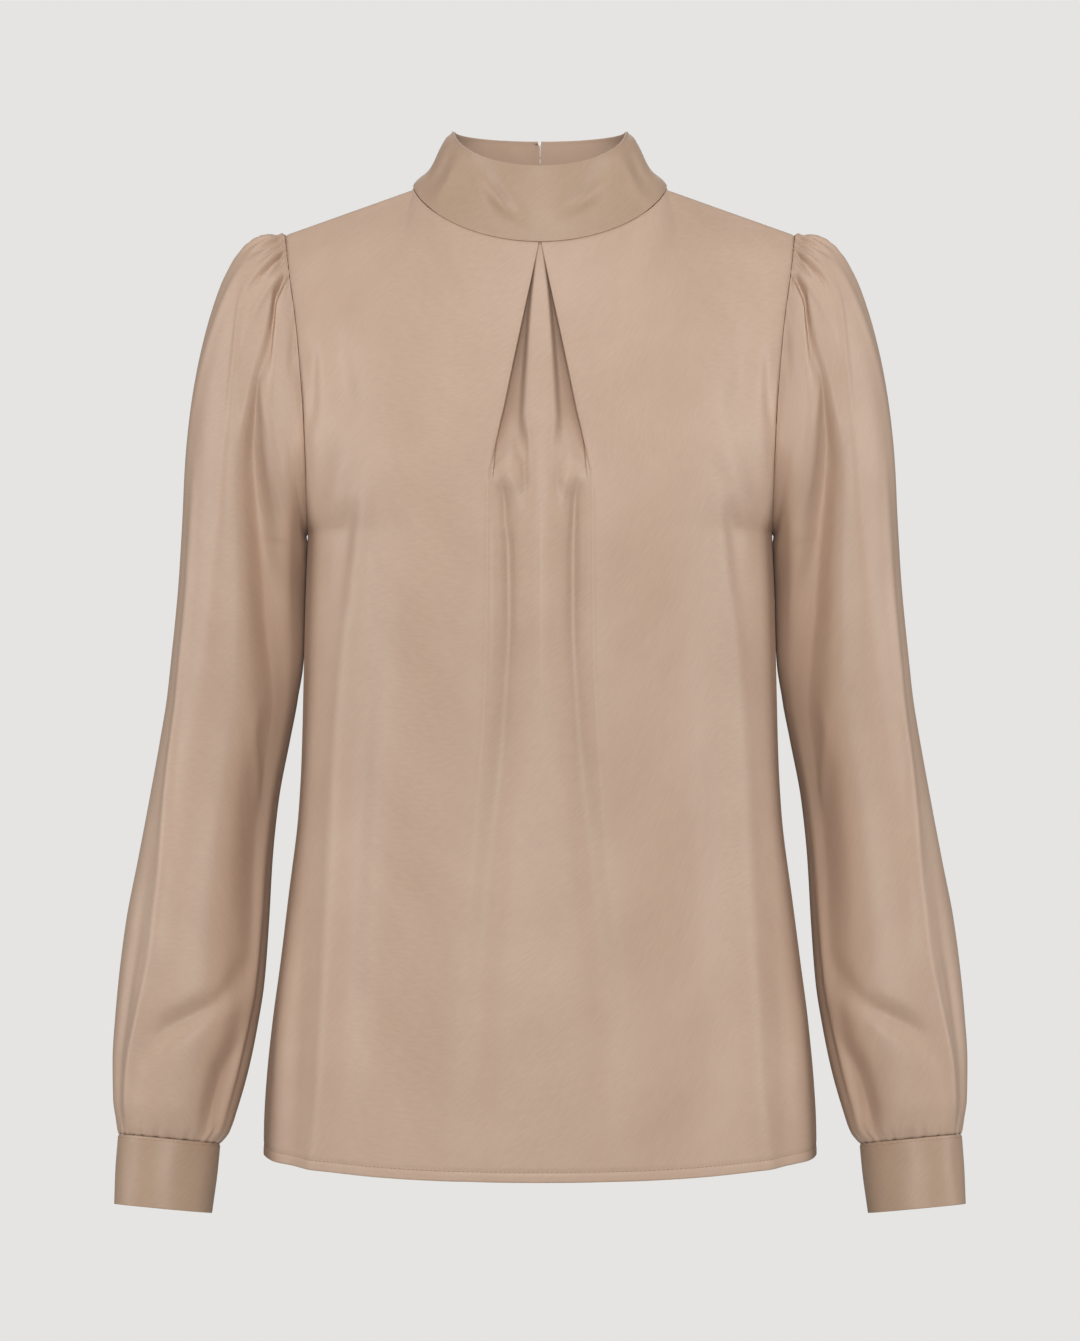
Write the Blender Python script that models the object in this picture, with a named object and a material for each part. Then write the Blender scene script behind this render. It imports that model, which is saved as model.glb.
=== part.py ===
"""A stand-collar blouse in satin crepe, filled out as if it were worn.

Walls of cloth make it: a front with an inverted pleat at the neck, two backs with a slit under the collar, set-in
sleeves gathered at the shoulder and tucked into lapped cuffs, and a funnel collar that buttons at the back.

Lengths are in millimetres and turned to metres when a mesh is made. X runs to the wearer's left, -Y is the front and
Z is up. The origin is the middle of the neck, level with the points where the shoulder seams meet the collar. A
"drop" is a distance below it. Each piece is worked out for the wearer's left and mirrored for the right.
"""
from math import cos, pi, radians, sin

import bpy
import numpy as np

MILLIMETRE = 0.001

# Cloth
CLOTH = 1.2            # wall of one layer
DOUBLED = 2.0          # wall of the collar and cuffs, two layers and an interlining
SEAM = 0.36            # room between two pieces along a seam
SHARP_ANGLE = 50       # degrees between faces, past which their edge looks sharp

# Neck and collar
NECK_HALF_WIDTH = 84.5
NECK_FRONT = 75.0      # seam at the centre front, ahead of the origin
NECK_BACK = 64.0
NECK_SIDE_RISE = 2.0
NECK_FRONT_DROP = 44.4
NECK_BACK_DROP = 12.0
NECK_CURVE = 1.3       # how quickly the seam falls towards the front
NECK_LEAN = (25.0, 58.0)  # degrees from level that the cloth faces at the centre front and at the sides
COLLAR_TOP_HALF_WIDTH = 58.0
COLLAR_TOP_FRONT = 58.0
COLLAR_TOP_BACK = 52.0
COLLAR_TOP_RISE = 39.5
COLLAR_TOP_DIP = 30.0  # how much lower the top edge is at the front
COLLAR_FLARE = 1.55    # above 1 the collar spreads close to its seam
COLLAR_ROWS = (1.0, 0.75, 0.5, 0.25, 0.0)  # rows of the mesh, as shares of its height
COLLAR_END_GAP_TOP = 2.4
COLLAR_END_GAP_FOOT = 1.2

# Shoulder
SHOULDER_HALF_WIDTH = 170.0
SHOULDER_DROP = 31.0
SHOULDER_SEAM_FORWARD = 8.0
ARMHOLE_MIDDLE_DROP = 128.0

# Body
HEM_DROP_SIDE = 644.0
HEM_DROP_CENTRE = 648.0
ARMPIT_DROP = 229.0
ARMPIT_DROP_CENTRE = 233.0  # where the row of the mesh through the armpits crosses the centre
SECTION_POWER = 2.4    # 2 is an ellipse, more is squarer
YOKE_ROWS = 10         # rows of the mesh from the shoulder to the armpit
BODY_ROWS = 15         # and from there to the hem
NECK_COLUMNS = 7       # columns of the mesh along each quarter of the neck
SHOULDER_COLUMNS = 7
NECK_SHARE = 0.5       # share of a half panel's columns that start at the neck
NECK_CORNER_BLEND = 0.3  # how widely the corner of the neck is smoothed out further down

# Back slit
SLIT_LENGTH = 165.0
SLIT_GAP = 1.0

# Inverted pleat
PLEAT_PITCH = 2.0      # from one layer of the fold to the next
PLEAT_CLOTH = 84.0     # cloth between the two fold edges, all of it hidden at the neck
PLEAT_LEAST_TUCK = 3.2
PLEAT_LET_GO = (148.0, 208.0)  # drops between which the fold opens into soft waves
PLEAT_FADES = (290.0, 600.0)  # drops between which those waves flatten
PLEAT_REACH = 14.0     # how far beside the fold edge the front still moves with it
UNDERLAY_PUFF = 4.0    # how far the cloth inside the open pleat sinks on both sides of its middle
UNDERLAY_RIDGE = 1.4   # how far that middle stands forward
UNDERLAY_COLUMNS = 3

# Sleeve
SLEEVE_TOP_ANGLE = 90.0
SLIT_ANGLE = 140.0     # where the sleeve slit and the cuff lap are: 0 front, 90 outside, 180 back
SLEEVE_SLIT_LENGTH = 60.0
SLEEVE_SLIT_GAP = 0.8
SLEEVE_POWER = 2.2
BICEP_DROP = 236.0
WRIST_DROP = 633.0
SLEEVE_COLUMNS = 44
SLEEVE_PUFF = 2.4      # how far the gathered head stands up beside its seam
SLEEVE_UNEVENNESS = 0.06  # how much deeper its folds are on the wearer's right
ARM_RADIUS = 44.0
HEAD_REACH = 35.0      # how far the top of the sleeve first heads straight out from its seam
HEAD_LIFT = 137.0      # how high above the upper arm its top already heads straight down
UNDERARM_ROOM = 1.6
CAP_ROWS = (0.0, 0.05, 0.12, 0.22, 0.34, 0.48, 0.64, 0.82, 1.0)  # 0 the armhole, 1 the upper arm
ARM_ROWS = (0.10, 0.22, 0.34, 0.46, 0.58, 0.69, 0.79, 0.87, 0.94, 1.0)  # from there, 1 is the wrist

# Cuff
CUFF_HEIGHT = 45.5
CUFF_HALF_WIDTH_TOP = 32.7
CUFF_HALF_WIDTH_FOOT = 31.2
CUFF_LAP = 16.0
CUFF_COLUMNS = 30
LAP_COLUMNS = 10
CUFF_DRIFT = (3.5, -6.0)  # how far its lower end stands outward and forward of its upper end

# Buttons
COLLAR_BUTTON_RADIUS = 4.5
COLLAR_BUTTON_HEIGHT = 3.0
CUFF_BUTTON_RADIUS = 5.0
CUFF_BUTTON_HEIGHT = 2.6
CUFF_SHANK_LENGTH = 0.6
BUTTON_RIM = 0.6       # how far a covered button's rim is rounded
BUTTON_SIDES = 16
SHANK_RADIUS = 1.5
SHANK_LENGTH = 2.0
LOOP_RADIUS = 0.6
COLLAR_BUTTON_INSET = 7.5  # from the centre back to the middle of a button
LOOP_REACH = 5.5       # how far a loop runs back over the other end of the collar
COLLAR_BUTTON_HEIGHTS = (0.28, 0.76)  # places up the collar, as shares of its height


def table(names, *rows):
    """Give the columns of a table by name."""
    return {name: np.array(column, float) for name, column in zip(names.split(), zip(*rows))}


def read(rows, by, what, at):
    """Read a column at any place along another, on a smooth curve that never overshoots the table."""
    x, y = rows[by], rows[what]
    step = np.diff(x)
    slope = np.diff(y) / step
    same_way = slope[:-1] * slope[1:] > 0
    total = np.where(same_way, slope[:-1] + slope[1:], 1.0)
    inner = np.where(same_way, 2 * slope[:-1] * slope[1:] / total, 0.0)
    tangent = np.concatenate(([slope[0]], inner, [slope[-1]]))
    at = np.clip(at, x[0], x[-1])
    i = np.clip(np.searchsorted(x, at) - 1, 0, len(x) - 2)
    t = (at - x[i]) / step[i]
    start = (1 + 2 * t) * (1 - t) ** 2 * y[i] + t * (1 - t) ** 2 * step[i] * tangent[i]
    end = t * t * (3 - 2 * t) * y[i + 1] + t * t * (t - 1) * step[i] * tangent[i + 1]
    return start + end


def with_length(rows):
    """Add the share of the curve's length that lies before each point."""
    steps = np.hypot(np.hypot(np.diff(rows["x"]), np.diff(rows["y"])), np.diff(rows["drop"]))
    rows["along"] = np.concatenate(([0.0], np.cumsum(steps))) / steps.sum()
    return rows


def ease(low, high, value):
    """Go smoothly from 0 at low to 1 at high."""
    t = np.clip((value - low) / (high - low), 0.0, 1.0)
    return t * t * (3 - 2 * t)


def mix(first, second, share):
    return first + (second - first) * share


def unit(vectors):
    return vectors / np.linalg.norm(vectors, axis=-1, keepdims=True)


# The body's outline from the front, and its depth before and behind the side seams
BODY = table(
    "drop half_width front back",
    (ARMPIT_DROP, 154.6, 130, 104),
    (275, 156.4, 131, 101),
    (328, 157.6, 130, 98),
    (382, 159.0, 129, 97),
    (422, 161.4, 129, 99),
    (476, 167.4, 130, 103),
    (516, 172.4, 131, 107),
    (556, 178.2, 132, 111),
    (596, 182.4, 133, 115),
    (623, 184.0, 133, 117),
    (648, 184.4, 133, 118),
)
CENTRE_FRONT = table("drop out", (42, 75), (70, 90), (100, 102), (140, 114), (185, 124), (233, 130))
CENTRE_BACK = table("drop out", (10, 64), (30, 76), (60, 91), (100, 103), (150, 109), (195, 107), (233, 104))
ARMHOLE = {
    "front": with_length(table(
        "x y drop",
        (170.0, -8, 31), (166.5, -28, 56), (161.0, -42, 92), (158.0, -48, 121),
        (155.0, -50, 166), (154.0, -42, 196), (154.0, -24, 219), (154.6, 0, ARMPIT_DROP),
    )),
    "back": with_length(table(
        "x y drop",
        (170.0, -8, 31), (169.0, 14, 42), (165.0, 36, 75), (160.0, 48, 115),
        (157.0, 50, 155), (155.5, 42, 192), (154.5, 22, 219), (154.6, 0, ARMPIT_DROP),
    )),
}

# Half the width of the open pleat
PLEAT_OPENING = table("drop half_width", (42, 0.78), (52, 3.0), (90, 11.0), (157, 24.6), (188, 31.5), (206, 34.0),
                      (330, 34.0), (460, 40.0), (560, 46.0), (648, 49.0))

# Soft folds of the front and back. A height above 0 is a ridge, below 0 a trough.
FRONT_FOLDS = (
    table("drop x height width", (200, 108, 0.0, 16), (240, 117, 1.8, 14), (308, 127, 2.6, 11), (380, 133, 2.8, 11),
          (471, 137, 2.6, 12), (602, 143, 2.8, 11), (650, 149, 2.2, 11)),
    table("drop x height width", (250, 103, 0.0, 12), (330, 112, -1.6, 10), (400, 117, -2.4, 10),
          (500, 120, -2.2, 11), (600, 122, -1.2, 13), (650, 124, -0.6, 14)),
    table("drop x height width", (420, 160, 0.0, 8), (500, 167, 1.6, 6), (560, 171, 2.2, 6), (650, 175, 1.6, 6)),
    table("drop x height width", (90, 150, 0.0, 9), (130, 139, -1.4, 9), (170, 134, -1.6, 9), (215, 131, 0.0, 10)),
)
BACK_FOLDS = (
    table("drop x height width", (150, 112, 0.0, 14), (230, 118, 2.2, 13), (340, 112, 3.0, 12), (460, 116, 3.2, 13),
          (600, 126, 3.4, 14), (650, 130, 3.2, 14)),
    table("drop x height width", (220, 92, 0.0, 12), (320, 88, -2.4, 12), (440, 90, -3.2, 12), (560, 96, -2.6, 14),
          (650, 100, -2.0, 15)),
    table("drop x height width", (300, 52, 0.0, 14), (400, 50, 2.0, 13), (520, 54, 3.0, 14), (650, 60, 3.0, 15)),
)
FOLD_UNEVENNESS = {"front": 0.08, "back": 0.22}  # how much taller a fold is on the wearer's right

# The sleeve's outline below the armhole
SLEEVE = table(
    "drop outer inner front back lean_out lean_forward",
    (236, 238.9, 159.4, -54.0, 62.0, 0.0, 0.0),
    (275, 242.4, 160.2, -53.0, 61.0, 0.0, 0.0),
    (318, 246.9, 161.2, -51.0, 60.0, 0.0, 0.0),
    (340, 249.4, 163.6, -49.0, 59.0, 0.0, 0.0),
    (368, 254.0, 169.0, -47.0, 58.0, 0.0, 0.0),
    (409, 261.4, 176.8, -46.0, 57.0, 0.0, 0.01),
    (449, 268.7, 180.8, -48.0, 55.0, 0.01, 0.02),
    (489, 276.1, 182.8, -51.0, 52.0, 0.02, 0.04),
    (529, 280.8, 185.5, -54.0, 47.0, 0.04, 0.06),
    (556, 282.9, 189.5, -56.0, 42.0, 0.05, 0.08),
    (583, 284.2, 194.9, -57.5, 36.0, 0.07, 0.10),
    (610, 283.5, 202.3, -57.5, 28.0, 0.08, 0.12),
    (625, 281.0, 207.5, -55.5, 20.0, 0.09, 0.13),
    (633, 279.2, 213.8, -52.7, 12.7, 0.095, 0.13),
)

# How the gathered cloth fans out: a thread that lies at one angle of the upper arm starts at another on the seam
FAN = table(
    "arm seam",
    (-90, -90), (-62, -30), (-35, 30), (-13, 61), (12, 75), (45, 86),
    (90, 97), (130, 109), (165, 123), (190, 150), (225, 210), (270, 270),
)

# Gathers of the sleeve head, by the thread that each follows. Reach is how far down the sleeve it goes, where 1 is
# the upper arm and 2 the wrist.
GATHERS = table(
    "arm depth width reach",
    (-13, 3.8, 10, 1.70),
    (13, 3.4, 8, 0.45),
    (42, 2.6, 9, 0.36),
    (72, 2.2, 10, 0.33),
    (102, 2.4, 10, 0.36),
    (134, 2.8, 10, 0.48),
    (166, 3.4, 10, 1.40),
)

# Folds of the arm, by how far along the sleeve they are
SLEEVE_FOLDS = (
    table("along angle height width", (0.10, 28, 0.0, 8), (0.5, 26, 1.2, 8), (1.0, 20, 2.4, 8), (1.2, 22, 2.2, 8),
          (1.43, 32, 2.2, 8), (1.65, 29, 2.8, 7), (1.77, 34, 3.0, 7), (1.88, 41, 3.0, 7), (1.96, 43, 1.6, 6),
          (2.0, 43, 0.0, 6)),
    table("along angle height width", (1.4, 52, 0.0, 8), (1.65, 50, -1.8, 8), (1.8, 56, -2.6, 7), (1.93, 60, -1.8, 7),
          (2.0, 60, 0.0, 7)),
    table("along angle height width", (1.2, -66, 0.0, 8), (1.6, -68, 2.0, 7), (1.85, -56, 2.8, 7),
          (1.96, -54, 1.4, 6), (2.0, -54, 0.0, 6)),
    table("along angle height width", (1.5, -88, 0.0, 8), (1.75, -84, -2.2, 8), (1.9, -76, -2.2, 7),
          (2.0, -74, 0.0, 6)),
    table("along angle height width", (1.66, -40, 0.0, 10), (1.76, -8, -2.6, 11), (1.83, 14, -2.0, 10),
          (1.88, 26, 0.0, 9)),
    table("along angle height width", (1.82, -34, 0.0, 9), (1.89, -28, -2.6, 9), (1.96, -24, -1.2, 8),
          (2.0, -22, 0.0, 8)),
    table("along angle height width", (1.2, 150, 0.0, 12), (1.45, 165, -2.6, 12), (1.6, 185, -3.0, 12),
          (1.8, 205, 0.0, 12)),
    table("along angle height width", (1.6, 170, 0.0, 9), (1.8, 176, 2.8, 9), (1.93, 178, 2.4, 8),
          (2.0, 178, 0.0, 8)),
    table("along angle height width", (1.6, 215, 0.0, 9), (1.8, 210, 2.6, 9), (1.93, 206, 2.2, 8),
          (2.0, 206, 0.0, 8)),
)


def neck_seam(turn):
    """Point of the neck seam at an angle from the centre front, towards the wearer's left."""
    ahead = np.cos(turn)
    reach = np.where(ahead > 0, NECK_FRONT, NECK_BACK)
    fall = np.where(ahead > 0, NECK_FRONT_DROP, NECK_BACK_DROP) * np.abs(ahead) ** NECK_CURVE
    return np.stack((NECK_HALF_WIDTH * np.sin(turn), -reach * ahead, NECK_SIDE_RISE - fall), axis=-1)


def neck_normal(turn):
    """Direction in which the walls on both sides of the neck seam are thick."""
    lift = np.radians(mix(*NECK_LEAN, np.sin(turn) ** 2))
    return np.stack((np.sin(turn) * np.cos(lift), -np.cos(turn) * np.cos(lift), np.sin(lift)), axis=-1)


SHOULDER_TURN = float(np.arccos(SHOULDER_SEAM_FORWARD / NECK_FRONT))  # where the shoulder seam meets the neck


def collar_point(turn, height):
    """Point of the collar's middle at an angle from the centre front, from its seam at 0 to its top edge at 1."""
    foot = neck_seam(turn)
    ahead = np.cos(turn)
    dip = COLLAR_TOP_DIP * np.where(ahead > 0, ahead, 0.0) ** 1.1
    reach = np.where(ahead > 0, COLLAR_TOP_FRONT, COLLAR_TOP_BACK)
    top = np.stack((COLLAR_TOP_HALF_WIDTH * np.sin(turn), -reach * ahead, COLLAR_TOP_RISE - dip), axis=-1)
    flare = ((1 - height) ** COLLAR_FLARE)[..., None]
    rise = (height ** 1.15)[..., None]
    return np.concatenate((mix(top, foot, flare)[..., :2], mix(foot, top, rise)[..., 2:]), axis=-1)


def armhole(part, along):
    """Point of the armhole seam on the front or back, from the shoulder at 0 to the armpit at 1."""
    rows = ARMHOLE[part]
    return np.stack(
        (read(rows, "along", "x", along), read(rows, "along", "y", along), -read(rows, "along", "drop", along)),
        axis=-1,
    )


def around_armhole(angle):
    """Point of the armhole seam at a sleeve angle: 90 the shoulder, 0 the front, 180 the back, 270 the armpit."""
    angle = (angle + 90) % 360 - 90
    down = np.abs(angle - SLEEVE_TOP_ANGLE) / 180
    return np.where((angle < SLEEVE_TOP_ANGLE)[..., None], armhole("front", down), armhole("back", down))


def armhole_outward(point, panel):
    """Direction in which the walls beside the armhole seam are thick, for a body panel or for the sleeve."""
    middle = np.array([0.0, 0.0, -ARMHOLE_MIDDLE_DROP])
    spread = point * np.array([0.0, 1.0, 1.0]) - middle
    across = unit(spread * np.array([0.0, 2.0, 1.0]))
    low = ease(-150.0, -222.0, point[..., 2])[..., None]
    shared = across + np.array([0.35, 0.0, 0.0])
    own = np.array([1.0, 0.0, 0.0]) if panel else np.array([-1.0, 0.0, 0.0])
    turned = shared * (1 - low) + (own + (0.0 if panel else 0.35) * across) * low
    return unit(turned)


def top_edge(part, share):
    """Point of a panel's top edge: the neck seam first, then the shoulder seam out to the armhole."""
    start = 0.0 if part == "front" else pi
    along_neck = np.clip(share / NECK_SHARE, 0, 1)
    on_neck = neck_seam(start + (SHOULDER_TURN - start) * along_neck)
    corner = neck_seam(np.array(SHOULDER_TURN))
    tip = np.array([SHOULDER_HALF_WIDTH, -SHOULDER_SEAM_FORWARD, -SHOULDER_DROP])
    along_shoulder = np.clip((share - NECK_SHARE) / (1 - NECK_SHARE), 0, 1)[..., None]
    return np.where((share <= NECK_SHARE)[..., None], on_neck, mix(corner, tip, along_shoulder))


def body_section(part, share, level):
    """Point of the body's smooth form. Share goes from the centre to the side; level is 0 at the shoulder, 1 at the
    armpit and 2 at the hem."""
    front = part == "front"
    below = np.clip(level - 1, 0, 1)
    side = armhole(part, np.clip(level, 0, 1))
    side_drop = np.where(level > 1, mix(ARMPIT_DROP, HEM_DROP_SIDE, below), -side[..., 2])
    side_x = np.where(level > 1, read(BODY, "drop", "half_width", side_drop), side[..., 0])
    side_y = np.where(level > 1, 0.0, side[..., 1])
    start = NECK_FRONT_DROP - NECK_SIDE_RISE if front else NECK_BACK_DROP - NECK_SIDE_RISE
    centre_drop = np.where(level > 1, mix(ARMPIT_DROP_CENTRE, HEM_DROP_CENTRE, below),
                           mix(start, ARMPIT_DROP_CENTRE, np.clip(level, 0, 1)))
    upper = read(CENTRE_FRONT if front else CENTRE_BACK, "drop", "out", centre_drop)
    lower = read(BODY, "drop", part, centre_drop)
    centre_y = np.where(level > 1, lower, upper) * (-1 if front else 1)
    power = mix(1.15, 2.0, np.clip(level, 0, 1) ** 2)
    across = np.sin(pi / 2 * share)
    roundness = np.clip(1 - across ** SECTION_POWER, 0, 1) ** (1 / power)
    return np.stack(
        (side_x * across, side_y + (centre_y - side_y) * roundness,
         -mix(centre_drop, side_drop, across ** 2)),
        axis=-1,
    )


def body_point(part, share, level):
    """Point of a body panel's smooth form, whose top edge is the neck seam and the shoulder seam."""
    share, level = np.broadcast_arrays(np.asarray(share, float), np.asarray(level, float))
    spread = NECK_CORNER_BLEND * ease(0, 0.6, level)
    off = 0.0
    for step in np.linspace(-1, 1, 9):
        near = np.abs(share + step * spread)
        past = near > 1
        near = np.where(past, 2 - near, near)
        here = top_edge(part, near) - body_section(part, near, np.zeros_like(level))
        off = off + np.where(past[..., None], -here, here) / 9
    left = np.clip(1 - level, 0, 1)[..., None]
    fade = np.concatenate((left ** 2, left ** 3, left ** 2), axis=-1)
    return body_section(part, share, level) + off * fade


def relief(folds, points, side, unevenness):
    """Height of the soft folds at points of a panel, on the wearer's left (1) or right (-1)."""
    drop, x = -points[..., 2], np.abs(points[..., 0])
    height = np.zeros_like(x)
    for fold in folds:
        away = (x - read(fold, "drop", "x", drop)) / read(fold, "drop", "width", drop)
        height += read(fold, "drop", "height", drop) * np.exp(-away ** 2)
    return height * (1 - side * unevenness)


def share_at(part, x, level):
    """Find where along a row of a panel its form is x from the centre."""
    shares = np.linspace(0, 0.6, 121)
    return np.interp(x, body_point(part, shares, level)[..., 0], shares)


def pleat_row(drop):
    """Places across and behind the front's form of one half of the pleat, from the centre out to the fold edge."""
    edge = float(read(PLEAT_OPENING, "drop", "half_width", drop))
    tuck = max((PLEAT_CLOTH - 2 * edge) / 4, PLEAT_LEAST_TUCK)
    bend = PLEAT_PITCH / 2
    inner = edge + tuck
    hollow = UNDERLAY_PUFF * float(ease(60, 140, drop) * (1 - ease(175, 208, drop)))
    under = np.arange(UNDERLAY_COLUMNS + 1) / (UNDERLAY_COLUMNS + 1)
    folded_x = np.concatenate((
        under * (inner - bend),
        [inner - bend, inner, inner - bend, edge + bend, edge, edge + bend],
    ))
    folded_y = np.concatenate((
        2 * PLEAT_PITCH + hollow * np.exp(-((under * (inner - bend) - 0.55 * edge) / (0.28 * edge + 1)) ** 2)
        - UNDERLAY_RIDGE * float(ease(90, 200, drop)) * np.exp(-(under * 3) ** 2),
        [2 * PLEAT_PITCH, 1.5 * PLEAT_PITCH, PLEAT_PITCH, PLEAT_PITCH, bend, 0.0],
    ))
    strength = 1 - 0.85 * float(ease(*PLEAT_FADES, drop))
    trough = edge - 7.5
    soft_x = np.concatenate((
        under * (trough - 4), [trough - 4, trough - 1, trough + 2, edge - 3, edge, edge + 4],
    ))
    soft_y = strength * np.concatenate((
        [-1.2, -0.8, 0.2, 1.6], [2.6, 3.0, 2.4, 0.2, -0.8, -1.2],
    ))
    letting_go = float(ease(*PLEAT_LET_GO, drop))
    return mix(folded_x, soft_x, letting_go), mix(folded_y, soft_y, letting_go)


def panel_mesh():
    """Levels of a panel's rows and shares of its columns."""
    levels = np.concatenate((np.linspace(0, 1, YOKE_ROWS + 1), np.linspace(1, 2, BODY_ROWS + 1)[1:]))
    neck = np.linspace(0, NECK_SHARE, NECK_COLUMNS + 1)
    shoulder = np.linspace(NECK_SHARE, 1, SHOULDER_COLUMNS + 1)[1:]
    return levels, np.concatenate((neck, shoulder))


def front_half():
    """Rows of points of the wearer's left half of the front, from the centre to the side."""
    levels, spread = panel_mesh()
    rows = []
    for level in levels:
        drop = -float(body_point("front", 0.0, level)[2])
        across, behind = pleat_row(drop)
        start = share_at("front", across[-1], level)
        shares = spread + start * np.clip(1 - spread / NECK_SHARE, 0, 1) ** 2
        panel = body_point("front", shares, level)
        fade = np.exp(-(panel[:, 0] - panel[0, 0]) / PLEAT_REACH)
        panel[:, 1] += behind[-1] * fade
        folded = body_point("front", share_at("front", np.abs(across[:-1]), level), level)
        folded[:, 0] = across[:-1]
        slope = radians(NECK_LEAN[0]) * (1 - float(ease(60, 180, drop)))
        folded += behind[:-1, None] * np.array([0.0, cos(slope), -sin(slope)])
        rows.append(np.concatenate((folded, panel)))
    return np.array(rows), levels


def back_half():
    """Rows of points of the wearer's left back, from the centre-back edge to the side."""
    levels, spread = panel_mesh()
    shares, heights = np.meshgrid(spread, levels)
    points = body_point("back", shares, heights)
    gap = mix(SLIT_GAP, SEAM, ease(0, SLIT_LENGTH, -points[:, :1, 2]))
    points[..., 0] += gap / 2 * (1 - shares) ** 2
    return points, levels


def grid_normals(points, closed_rows):
    """Outward direction at each point of a grid whose closed rows start and end on the same point."""
    across = points[:, 1:] - points[:, :-1]
    down = points[1:] - points[:-1]
    face = np.cross(down[:, :-1] + down[:, 1:], across[:-1] + across[1:])
    total = np.zeros_like(points)
    for rows in (slice(None, -1), slice(1, None)):
        for columns in (slice(None, -1), slice(1, None)):
            total[rows, columns] += face
    joined = total[:, 0] + total[:, -1]
    total[closed_rows, 0] = joined[closed_rows]
    total[closed_rows, -1] = joined[closed_rows]
    return unit(total)


def draw_in(points, edge, room):
    """Move one edge of a grid towards its next row or column, which leaves room for the seam."""
    here, next_one = {
        "top": (np.s_[0], np.s_[1]), "foot": (np.s_[-1], np.s_[-2]),
        "start": (np.s_[:, 0], np.s_[:, 1]), "end": (np.s_[:, -1], np.s_[:, -2]),
    }[edge]
    points[here] = points[here] + unit(points[next_one] - points[here]) * room


def make_object(name, vertices, faces, material):
    """Make a mesh object from points in millimetres."""
    mesh = bpy.data.meshes.new(name)
    mesh.from_pydata([tuple(v) for v in np.asarray(vertices) * MILLIMETRE], [], faces)
    mesh.materials.append(material)
    mesh.shade_smooth()
    mesh.set_sharp_from_angle(angle=radians(SHARP_ANGLE))
    bpy.context.scene.collection.objects.link(bpy.data.objects.new(name, mesh))


def make_wall(name, points, normals, thickness, material, closed_rows=None):
    """Make a closed wall whose middle is a grid of points, rows down and columns to the wearer's left as seen from
    outside. A closed row's first and last points are one point."""
    row_count, column_count = points.shape[:2]
    number = np.arange(row_count * column_count).reshape(row_count, column_count)
    if closed_rows is not None:
        number[closed_rows, -1] = number[closed_rows, 0]
    used, compact = np.unique(number, return_inverse=True)
    compact = compact.reshape(number.shape)
    middle = points.reshape(-1, 3)[used]
    outward = normals.reshape(-1, 3)[used]
    vertices = np.concatenate((middle + outward * thickness / 2, middle - outward * thickness / 2))
    inside = len(used)
    faces, border = [], {}
    for row in range(row_count - 1):
        for column in range(column_count - 1):
            quad = (compact[row, column], compact[row + 1, column],
                    compact[row + 1, column + 1], compact[row, column + 1])
            faces.append(quad)
            faces.append(tuple(corner + inside for corner in reversed(quad)))
            for first, second in zip(quad, quad[1:] + quad[:1]):
                if (second, first) in border:
                    del border[second, first]
                else:
                    border[first, second] = True
    for first, second in border:
        faces.append((second, first, first + inside, second + inside))
    make_object(name, vertices, [tuple(int(i) for i in face) for face in faces], material)


def mirrored(points):
    """Give a grid on the wearer's right, with its columns in the order that keeps its outside outside."""
    flipped = points[:, ::-1].copy()
    flipped[..., 0] *= -1
    return flipped


def panel_normals(part, points, levels):
    """Outward directions of a panel's left half, shared with its neighbours along the seams."""
    normals = grid_normals(points, np.zeros(len(points), bool))
    columns = points.shape[1]
    start = 0.0 if part == "front" else pi
    turns = start + (SHOULDER_TURN - start) * np.linspace(0, 1, NECK_COLUMNS + 1)
    slope = np.arctan2(SHOULDER_DROP, SHOULDER_HALF_WIDTH - NECK_HALF_WIDTH)
    shoulder = unit(np.array([sin(slope), -0.15, cos(slope)]))
    if part == "front":
        corner = columns - SHOULDER_COLUMNS
        normals[0, corner - NECK_COLUMNS - 1:corner] = neck_normal(turns)
        normals[0, corner:] = shoulder
        edge = -1
    else:
        normals[0, :SHOULDER_COLUMNS] = shoulder
        normals[0, SHOULDER_COLUMNS:] = neck_normal(turns)[::-1]
        edge = 0
    above = levels <= 1
    normals[above, edge] = armhole_outward(points[above, edge], True)
    normals[~above, edge] = (1.0, 0.0, 0.0)
    normals[0, edge] = unit(normals[0, edge] + shoulder)
    return normals


def add_front(material):
    half, levels = front_half()
    sides = {}
    for side in (1, -1):
        points = half.copy()
        normals = panel_normals("front", points, levels)
        rise = relief(FRONT_FOLDS, points, side, FOLD_UNEVENNESS["front"])
        rise[:, -1] = 0
        points += normals * rise[..., None]
        draw_in(points, "top", SEAM / 2)
        draw_in(points, "end", SEAM / 2)
        sides[side] = points, normals
    left, left_normals = sides[1]
    right, right_normals = (mirrored(part) for part in sides[-1])
    left[:, 0, 0] = 0.0
    left_normals[:, 0, 0] = 0.0
    left_normals = unit(left_normals)
    points = np.concatenate((right[:, :-1], left), axis=1)
    normals = np.concatenate((right_normals[:, :-1], left_normals), axis=1)
    make_wall("front", points, normals, CLOTH, material)


def add_backs(material):
    half, levels = back_half()
    for name, side in (("back_left", 1), ("back_right", -1)):
        points = half[:, ::-1].copy()
        normals = panel_normals("back", points, levels)
        rise = relief(BACK_FOLDS, points, side, FOLD_UNEVENNESS["back"])
        rise[:, 0] = 0
        points += normals * rise[..., None]
        points[:, -1, 0] = half[:, 0, 0]
        normals[:, -1, 0] = 0.0
        normals = unit(normals)
        draw_in(points, "top", SEAM / 2)
        draw_in(points, "start", SEAM / 2)
        if side < 0:
            points, normals = mirrored(points), mirrored(normals)
        make_wall(name, points, normals, CLOTH, material)


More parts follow.
